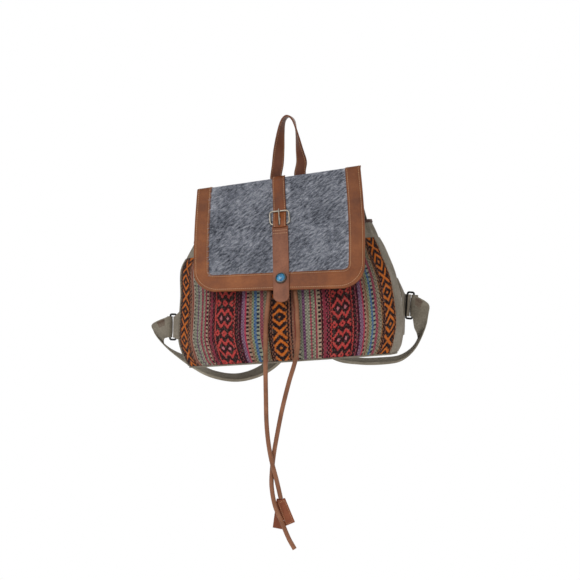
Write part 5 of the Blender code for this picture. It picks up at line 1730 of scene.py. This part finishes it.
@dataclass
class Ring:
    """A rectangular ring: its wing bar and its strap bar, each from its low to its high end."""

    low: Vector
    high: Vector
    toward: Vector
    length: float = 0.041
    width: float = 0.0098
    corner: float = 0.0024
    wire: float = 0.0016
    slack: float = 0.0020
    pull: float = 0.0017
    wrap: float = math.radians(250)

    def __post_init__(self) -> None:
        """Works out the bars."""
        self.along = (self.high - self.low).normalized()
        self.toward = (self.toward - self.along * self.toward.dot(self.along)).normalized()
        middle, half = (self.low + self.high) / 2, self.along * (self.length / 2)
        self.wing_bar = (middle - half, middle + half)
        shift = self.toward * self.width
        self.strap_bar = (middle - half + shift, middle + half + shift)

    def build(self, name: str) -> bpy.types.Object:
        """The ring's bent wire."""
        centre = (self.wing_bar[0] + self.strap_bar[1]) / 2
        loop = rounded_loop(self.width, self.length, self.corner, 8)
        points = [centre + self.toward * x + self.along * y for x, y in loop]
        return baked(tube(name, points, self.wire, True))

    def loop(self, bar: tuple, width: float, arriving: Vector, side: Vector, thick: float) -> list[tuple]:
        """Edge pairs of a strap that arrives at a bar on one side and turns back round it."""
        axis = (bar[1] - bar[0]).normalized()
        arriving = (arriving - axis * arriving.dot(axis)).normalized()
        side = (side - axis * side.dot(axis) - arriving * side.dot(arriving)).normalized()
        radius = self.wire + self.slack + thick / 2
        centre = (bar[0] + bar[1]) / 2 - arriving * self.pull
        half = axis * (width / 2)
        stations = []
        for i in range(13):
            angle = self.wrap * i / 12
            point = centre + side * (radius * math.cos(angle)) + arriving * (radius * math.sin(angle))
            stations.append((point + half, point - half))
        return stations


@dataclass
class Carrying:
    """The shoulder straps, their rings and the wings that hold the rings."""

    form: FlapForm
    finish: Finishes
    sew: RepeatTree
    webbing: float = 0.0022
    width: float = 0.034
    ring_room: float = 0.0035
    pad: float = 0.0046
    at: float = 0.0555
    top: float = 0.0245
    wing_top: float = 0.172
    wing_base: float = 0.258
    right_route: tuple = (
        ((0.2113, 0.055, -0.2905), (0.1882, 0.058, -0.3278)),
        ((0.2108, 0.059, -0.3045), (0.1911, 0.066, -0.3374)),
        ((0.2045, 0.062, -0.3293), (0.1885, 0.082, -0.3472)),
        ((0.1892, 0.064, -0.3597), (0.1765, 0.092, -0.3618)),
        ((0.1686, 0.065, -0.3779), (0.1583, 0.097, -0.3733)),
        ((0.1462, 0.065, -0.3834), (0.1354, 0.098, -0.3776)),
        ((0.1011, 0.064, -0.3848), (0.0898, 0.097, -0.3790)),
        ((0.0600, 0.060, -0.3775), (0.0470, 0.093, -0.3700)),
        ((0.0345, 0.060, -0.3520), (0.0275, 0.092, -0.3480)),
        ((0.0330, 0.060, -0.3100), (0.0250, 0.091, -0.3100)),
        ((0.0480, 0.060, -0.2500), (0.0220, 0.078, -0.2500)),
        ((0.0680, 0.046, -0.1950), (0.0350, 0.050, -0.1960)),
    )
    left_route: tuple = (
        ((-0.2411, 0.046, -0.3243), (-0.2213, 0.047, -0.3489)),
        ((-0.2394, 0.047, -0.3357), (-0.2250, 0.059, -0.3580)),
        ((-0.2289, 0.049, -0.3511), (-0.2200, 0.073, -0.3665)),
        ((-0.2095, 0.050, -0.3696), (-0.2060, 0.083, -0.3735)),
        ((-0.1723, 0.052, -0.3952), (-0.1797, 0.086, -0.3880)),
        ((-0.1400, 0.054, -0.4094), (-0.1493, 0.088, -0.4025)),
        ((-0.0981, 0.055, -0.4145), (-0.1105, 0.090, -0.4069)),
        ((-0.0582, 0.056, -0.4043), (-0.0748, 0.090, -0.3958)),
        ((-0.0286, 0.057, -0.3839), (-0.0478, 0.090, -0.3744)),
        ((-0.0110, 0.058, -0.3560), (-0.0260, 0.090, -0.3500)),
        ((-0.0060, 0.058, -0.3050), (-0.0130, 0.090, -0.3050)),
        ((-0.0250, 0.056, -0.2500), (-0.0030, 0.080, -0.2500)),
        ((-0.0630, 0.044, -0.1950), (-0.0310, 0.050, -0.1930)),
    )

    def build(self) -> None:
        """Builds and dresses both sides."""
        left = Ring(Vector((-0.2004, 0.045, -0.3483)), Vector((-0.1995, 0.045, -0.3094)), Vector((-1, 0, 0)))
        right = Ring(Vector((0.1750, 0.058, -0.3123)), Vector((0.1781, 0.058, -0.2728)), Vector((1, 0, 0)))
        for side, ring, route in ((Side.LEFT, left, self.left_route), (Side.RIGHT, right, self.right_route)):
            wire = ring.build("wire_ring_" + side.label)
            body = Body["RING_" + side.name]
            mount(dress(wire, self.finish.black), body, "black_metal", "ring_" + side.label)
            self._wing(side, ring)
            self._strap(side, ring, route)

    def _wing(self, side: Side, ring: Ring) -> None:
        """A canvas wing from the back corner's seam to its loop round the ring."""
        bag = self.form.bag

        def corner(drop: float, out: float) -> Vector:
            """A point beside the back corner's seam."""
            sizes = bag.sizes(drop)
            spot = bag.hanging(bag.sway(drop) + side.value * sizes[4], sizes[3], drop)
            return spot + Vector((side.value * out, out * 0.9, 0))

        seam = bag.canvas + bag.gap + self.webbing / 2
        first = (corner(self.wing_top, seam), corner(self.wing_base, seam))
        bow = corner((self.wing_top + self.wing_base) / 2, seam) - (first[0] + first[1]) / 2
        arriving = (ring.wing_bar[0] + ring.wing_bar[1]) / 2 - (first[0] + first[1]) / 2 - bow
        width = ring.length - 2 * ring.wire - self.ring_room
        turn_side = Vector((0, -side.value * arriving.x - 0.2, 0))
        loop = ring.loop(ring.wing_bar, width, arriving, turn_side, self.webbing)
        second, middle = (tuple(a.lerp(b, t) for a, b in zip(first, loop[0])) for t in (0.28, 0.62))
        stations = [first, second, middle, *loop]
        bows = [bow, bow * 0.7, bow * 0.2] + [Vector()] * len(loop)
        wing = Ribbon(
            "canvas_wing_" + side.label, stations, lambda share: self.webbing, 12, bows=bows, crown=0.1
        )
        mount(dress(wing.build(), self.finish.canvas), Body.BAG, "canvas", "wing_" + side.label)
        out = (ring.strap_bar[0] - ring.wing_bar[0]).cross(ring.along).normalized() * 0.0014
        if out.y > 0:
            out = -out
        rows = []
        for share in (0.34, 0.364):
            start, end = (a.lerp(b, share) for a, b in zip(second, middle))
            rows.append([start.lerp(end, 0.06 + 0.88 * i / 16) + out for i in range(17)])
        stitches = self.sew.sew("wing_stitches_" + side.label, rows, self.finish.drab_thread)
        mount(stitches, Body.BAG, "canvas")

    def _strap(self, side: Side, ring: Ring, route: tuple) -> None:
        """A padded strap round the ring's bar, under the bag and up the back to the yoke."""
        bag = self.form.bag
        first = (Vector(route[0][0]), Vector(route[0][1]))
        arriving = (ring.strap_bar[0] + ring.strap_bar[1]) / 2 - (first[0] + first[1]) / 2
        loop = ring.loop(ring.strap_bar, self.width, arriving, Vector((0, -1, 0)), self.webbing)
        stations = [*reversed(loop), *[(Vector(a), Vector(b)) for a, b in route]]
        seat = bag.canvas + bag.gap + self.form.root + bag.gap + self.pad / 2
        half = self.width / 2
        for drop, out in ((0.075, seat + 0.003), (0.058, seat), (0.036, seat), (self.top, seat)):
            outer = bag.back_face(YOKE_AT + side.value * (self.at + half), drop, out)
            inner = bag.back_face(YOKE_AT + side.value * (self.at - half), drop, out)
            stations.append((outer, inner))

        def thickness(share: float) -> float:
            """Thin webbing at the ring, padded from there on, flat again under the yoke."""
            rise = float(smooth_step(0.15, 0.30, share)) * (1 - float(smooth_step(0.86, 0.92, share)))
            grown = float(smooth_step(0.16, 0.32, share))
            return self.webbing + (self.pad - self.webbing) * grown + 0.0030 * rise

        name = "padded_strap_" + side.label
        strap = Ribbon(name, stations, thickness, 14, crown=0.45, seam=0.35)
        piece = strap.build()
        mount(dress(piece, self.finish.strap_canvas), Body.BAG, "canvas", "shoulder_strap_" + side.label)
        height = self.pad * 0.36
        rows = [strap.line(share, h, 0.22, 0.84) for share in (0.11, 0.89) for h in (height, -height)]
        stitches = self.sew.sew("strap_stitches_" + side.label, rows, self.finish.drab_thread)
        mount(stitches, Body.BAG, "canvas")
        height = 0.4 * self.webbing
        shares = [0.08 + 0.04 * i for i in range(8)]
        rows = [strap.line(share, h, 0.045, 0.060) for share in shares for h in (height, -height)]
        thread = self.finish.brown_thread
        tack = self.sew.sew("strap_tack_" + side.label, rows, thread, 0.0016, 0.0022, 0.0004)
        mount(tack, Body.BAG, "canvas")


@dataclass
class Drawstring:
    """The rolled leather drawstring: its held part, two free ends, eyelets and the leaf tab."""

    form: BagForm
    shell: Shell
    finish: Finishes
    radius: float = 0.0034
    room: float = 0.0024
    left_route: tuple = (
        (-0.0060, -0.0872, -0.2704),
        (-0.0061, -0.0935, -0.2913),
        (-0.0068, -0.0980, -0.3100),
        (-0.0075, -0.0997, -0.3285),
        (-0.0079, -0.0999, -0.3509),
        (-0.0079, -0.0994, -0.3882),
        (-0.0076, -0.0985, -0.4270),
        (-0.0065, -0.0985, -0.4687),
        (-0.0030, -0.0995, -0.4999),
        (0.0027, -0.1005, -0.5271),
        (0.0090, -0.0990, -0.5516),
        (0.0150, -0.0970, -0.5790),
    )
    right_route: tuple = (
        (0.0343, -0.0872, -0.2704),
        (0.0386, -0.0935, -0.2912),
        (0.0405, -0.0980, -0.3100),
        (0.0421, -0.0997, -0.3282),
        (0.0420, -0.0999, -0.3504),
        (0.0377, -0.0990, -0.3742),
        (0.0275, -0.0965, -0.4056),
        (0.0161, -0.0940, -0.4477),
        (0.0069, -0.0915, -0.4899),
        (0.0025, -0.0915, -0.5154),
        (0.0006, -0.0950, -0.5419),
        (0.0018, -0.1000, -0.5621),
        (0.0080, -0.1040, -0.5890),
        (0.0189, -0.1045, -0.6134),
        (0.0293, -0.1030, -0.6378),
        (0.0376, -0.1015, -0.6525),
    )

    def build(self) -> None:
        """Builds and dresses the drawstring."""
        self._held()
        self._eyelets()
        tab = self._tab()
        ends = ((Side.LEFT, self.left_route, "fitting", [tab]), (Side.RIGHT, self.right_route, "bare", []))
        for side, route, far_end, pieces in ends:
            self._free(side, route, far_end, pieces)

    def _held(self) -> None:
        """The part in the casing, seen through the eyelets."""
        drop = self.shell.eyelet_drop
        start, end = self.shell.eyelet_turn(Side.RIGHT), 6 + self.shell.eyelet_turn(Side.LEFT)
        points = []
        for i in range(57):
            x, y = self.form.point(start + (end - start) * i / 56, drop, self.radius + self.room / 2)
            points.append(self.form.hanging(x, y, drop))
        lace = baked(tube("held_lace", smooth_route(points, 0.006), self.radius - 0.0004))
        mount(dress(lace, self.finish.lace), Body.BAG, "leather", "drawstring_in_casing")

    def _eyelets(self) -> None:
        """Two black eyelets with rolled rims."""
        for side in Side:
            centre, outward = self.shell.eyelet(side)
            seat = self.form.canvas + self.form.gap
            profile = [(0.0042, seat + 0.0007), (0.0045, seat + 0.0009), (0.0060, seat + 0.0009)]
            profile += [(0.0070, seat + 0.0006), (0.0075, seat + 0.0001), (0.0075, seat), (0.0047, seat)]
            profile += [(0.0047, 0.0002), (0.0042, 0.0002)]
            piece = turned("rolled_eyelet_" + side.label, profile, centre, outward)
            mount(dress(piece, self.finish.black), Body.BAG, "black_metal", "eyelet_" + side.label)

    def _free(self, side: Side, route: tuple, far_end: str, pieces: list) -> None:
        """A free end: out of its eyelet, down behind the flap and hanging below the bag."""
        form = self.form
        centre, outward = self.shell.eyelet(side)
        turn, drop = self.shell.eyelet_turn(side), self.shell.eyelet_drop
        ahead = form.wall(turn, drop + 0.002, 0, -1, 1) - centre
        downward = (ahead - outward * ahead.dot(outward)).normalized()
        reach = form.canvas + form.gap + 0.0009 + self.radius + form.gap
        places = [(0.0, 0.0), (0.0, 0.52), (0.0013, 0.86), (0.0042, 1.0), (0.0110, 0.97)]
        points = [centre + outward * (reach * share) + downward * down for down, share in places]
        rest = form.cloth + form.gap + 1.1 * self.radius
        points += [form.wall(turn, drop + down, rest, -1, 1) for down in (0.022, 0.036, 0.050)]
        points += [Vector(p) for p in route]
        path = smooth_route(points[:5], 0.0012)[:-1] + smooth_route(points[4:], 0.004)
        lace = tube("free_lace_" + side.label, path, self.radius)
        dress(lace, self.finish.lace)
        length = sum((b - a).length for a, b in zip(path, path[1:]))
        mount(lace, Body.BAG, "leather", "drawstring_" + side.label)
        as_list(pieces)
        LOG.info("lace %s is %.3f m long", side.label, length)

    def _tab(self) -> bpy.types.Object:
        """The folded leaf of leather on the left end."""
        end = Vector(self.left_route[-1])
        heading = (end - Vector(self.left_route[-2])).normalized()
        thick, length, back_length, width, bend, spread = 0.0016, 0.0390, 0.0450, 0.0135, 0.0016, 0.0030
        top = end + heading * (self.form.gap + thick / 2)
        front_way = Vector((0.404, 0, -0.915)).normalized()
        back_way = Vector((-0.14, 0, -0.99)).normalized()

        def place(across: float, along: float, height: float) -> Vector:
            """A point of the leaf, which folds over the lace's end and spreads downward."""
            share = float(smooth_step(-bend, bend, along))
            way = back_way.lerp(front_way, share).normalized()
            side = Vector((-way.z, 0, way.x))
            reach = abs(along)
            out = bend * 0.9 + spread * reach / length
            angle = math.pi / 2 * max(-1, min(1, along / bend))
            centre = top + way * (reach if reach > bend else reach * reach / bend)
            centre = centre + Vector((0, -out * math.sin(angle), 0))
            outward = Vector((0, -math.sin(angle), 0)) - way * math.cos(angle)
            flare = 1 + 0.12 * reach / length
            return centre + side * (across * flare) + outward.normalized() * height

        half = width / 2
        faces = (-thick / 2, thick / 2)
        tab = Sheet("leaf_tab", place, (-half, half), (-back_length, length), (6, 80), faces, 1).build()
        mount(dress(tab, self.finish.tab), Body.BAG, "leather_dark", "lace_tab")
        corners = [(-1, 0.004), (1, 0.004), (1, length - 0.0022), (-1, length - 0.0022), (-1, 0.004)]
        row = []
        for (side, y0), (ahead, y1) in zip(corners, corners[1:]):
            for i in range(12):
                x = (side + (ahead - side) * i / 12) * (half - 0.0018)
                row.append(place(x, y0 + (y1 - y0) * i / 12, thick / 2 + STITCH_LIFT))
        stitches = self.shell.sew.sew("tab_stitches", [row], self.finish.thread, 0.0028, 0.0022, 0.0003)
        mount(stitches, Body.BAG, "leather_dark")
        return tab


@dataclass
class Studio:
    """The camera, the lights, the floor and the white surroundings."""

    azimuth: float = math.radians(15)
    distance: float = 2.28
    metres_per_pixel: float = 0.0015545
    image: float = 580.0
    hang_pixel: tuple = (288.0, 117.0)
    floor_height: float = -0.74
    lamp_distance: float = 2.4
    lamp_size: float = 1.6

    def build(self) -> None:
        """Sets up the studio."""
        scene = bpy.context.scene
        right = Vector((math.cos(self.azimuth), math.sin(self.azimuth), 0))
        forward = Vector((-math.sin(self.azimuth), math.cos(self.azimuth), 0))
        middle = self.image / 2
        target = right * ((middle - self.hang_pixel[0]) * self.metres_per_pixel)
        target += Vector((0, 0, (self.hang_pixel[1] - middle) * self.metres_per_pixel))
        camera = bpy.data.objects.new("camera", bpy.data.cameras.new("camera"))
        camera.location = target - forward * self.distance
        camera.rotation_euler = forward.to_track_quat("-Z", "Y").to_euler()
        camera.data.sensor_width = 36.0
        camera.data.lens = 36.0 * self.distance / (self.image * self.metres_per_pixel)
        scene.camera = link(camera)
        for name, way, power in (
            ("key", (-0.45, -1.0, 0.75), 22.0),
            ("fill", (0.9, -0.9, 0.1), 7.0),
            ("rear", (0.1, 1.0, 0.6), 9.0),
        ):
            self._lamp(name, target, Vector(way), power)
        self._surroundings()
        scene.view_settings.view_transform = "Standard"

    def _lamp(self, name: str, target: Vector, way: Vector, power: float) -> None:
        """A soft square lamp that faces the bag."""
        data = bpy.data.lights.new(name, "AREA")
        data.shape, data.size, data.energy = "SQUARE", self.lamp_size, power
        lamp = link(bpy.data.objects.new(name, data))
        lamp.location = target + way.normalized() * self.lamp_distance
        lamp.rotation_euler = (-way).to_track_quat("-Z", "Y").to_euler()

    def _surroundings(self) -> None:
        """A white world that lights softly, and a white floor."""
        world = bpy.data.worlds.new("white_room")
        world.use_nodes = True
        bpy.context.scene.world = world
        tree = world.node_tree
        tree.nodes.clear()
        white = (1, 1, 1)
        soft, seen = (
            add_node(tree, "ShaderNodeBackground", {"Color": white, "Strength": strength}).outputs[0]
            for strength in (0.62, 1.0)
        )
        ray = add_node(tree, "ShaderNodeLightPath").outputs["Is Camera Ray"]
        mix = add_node(tree, "ShaderNodeMixShader", {0: ray, 1: soft, 2: seen})
        add_node(tree, "ShaderNodeOutputWorld", {0: mix.outputs[0]})
        bpy.ops.mesh.primitive_plane_add(size=9.0, location=(0, 0, self.floor_height))
        floor = bpy.context.object
        floor.name = "floor"
        s = ShaderTree("pale_floor")
        glow = s.add("Emission", {"Color": white, "Strength": 1.0})
        s.tree.links.new(glow.outputs[0], s.output.inputs["Surface"])
        dress(floor, s.material)


def main() -> None:
    """Builds the bag in order."""
    logging.basicConfig(level=logging.INFO)
    Studio().build()
    finish = Finishes()
    sew = RepeatTree("stitch_rows")
    bag = BagForm()
    flap = FlapForm(bag)
    shell = Shell(bag, finish, sew)
    Drawstring(bag, shell, finish).build()
    shell.build()
    Flap(flap, finish, sew).build()
    ClosingStrap(flap, finish, sew).build()
    Handle(flap, finish, sew).build()
    Carrying(flap, finish, sew).build()


if __name__ == "__main__":
    main()
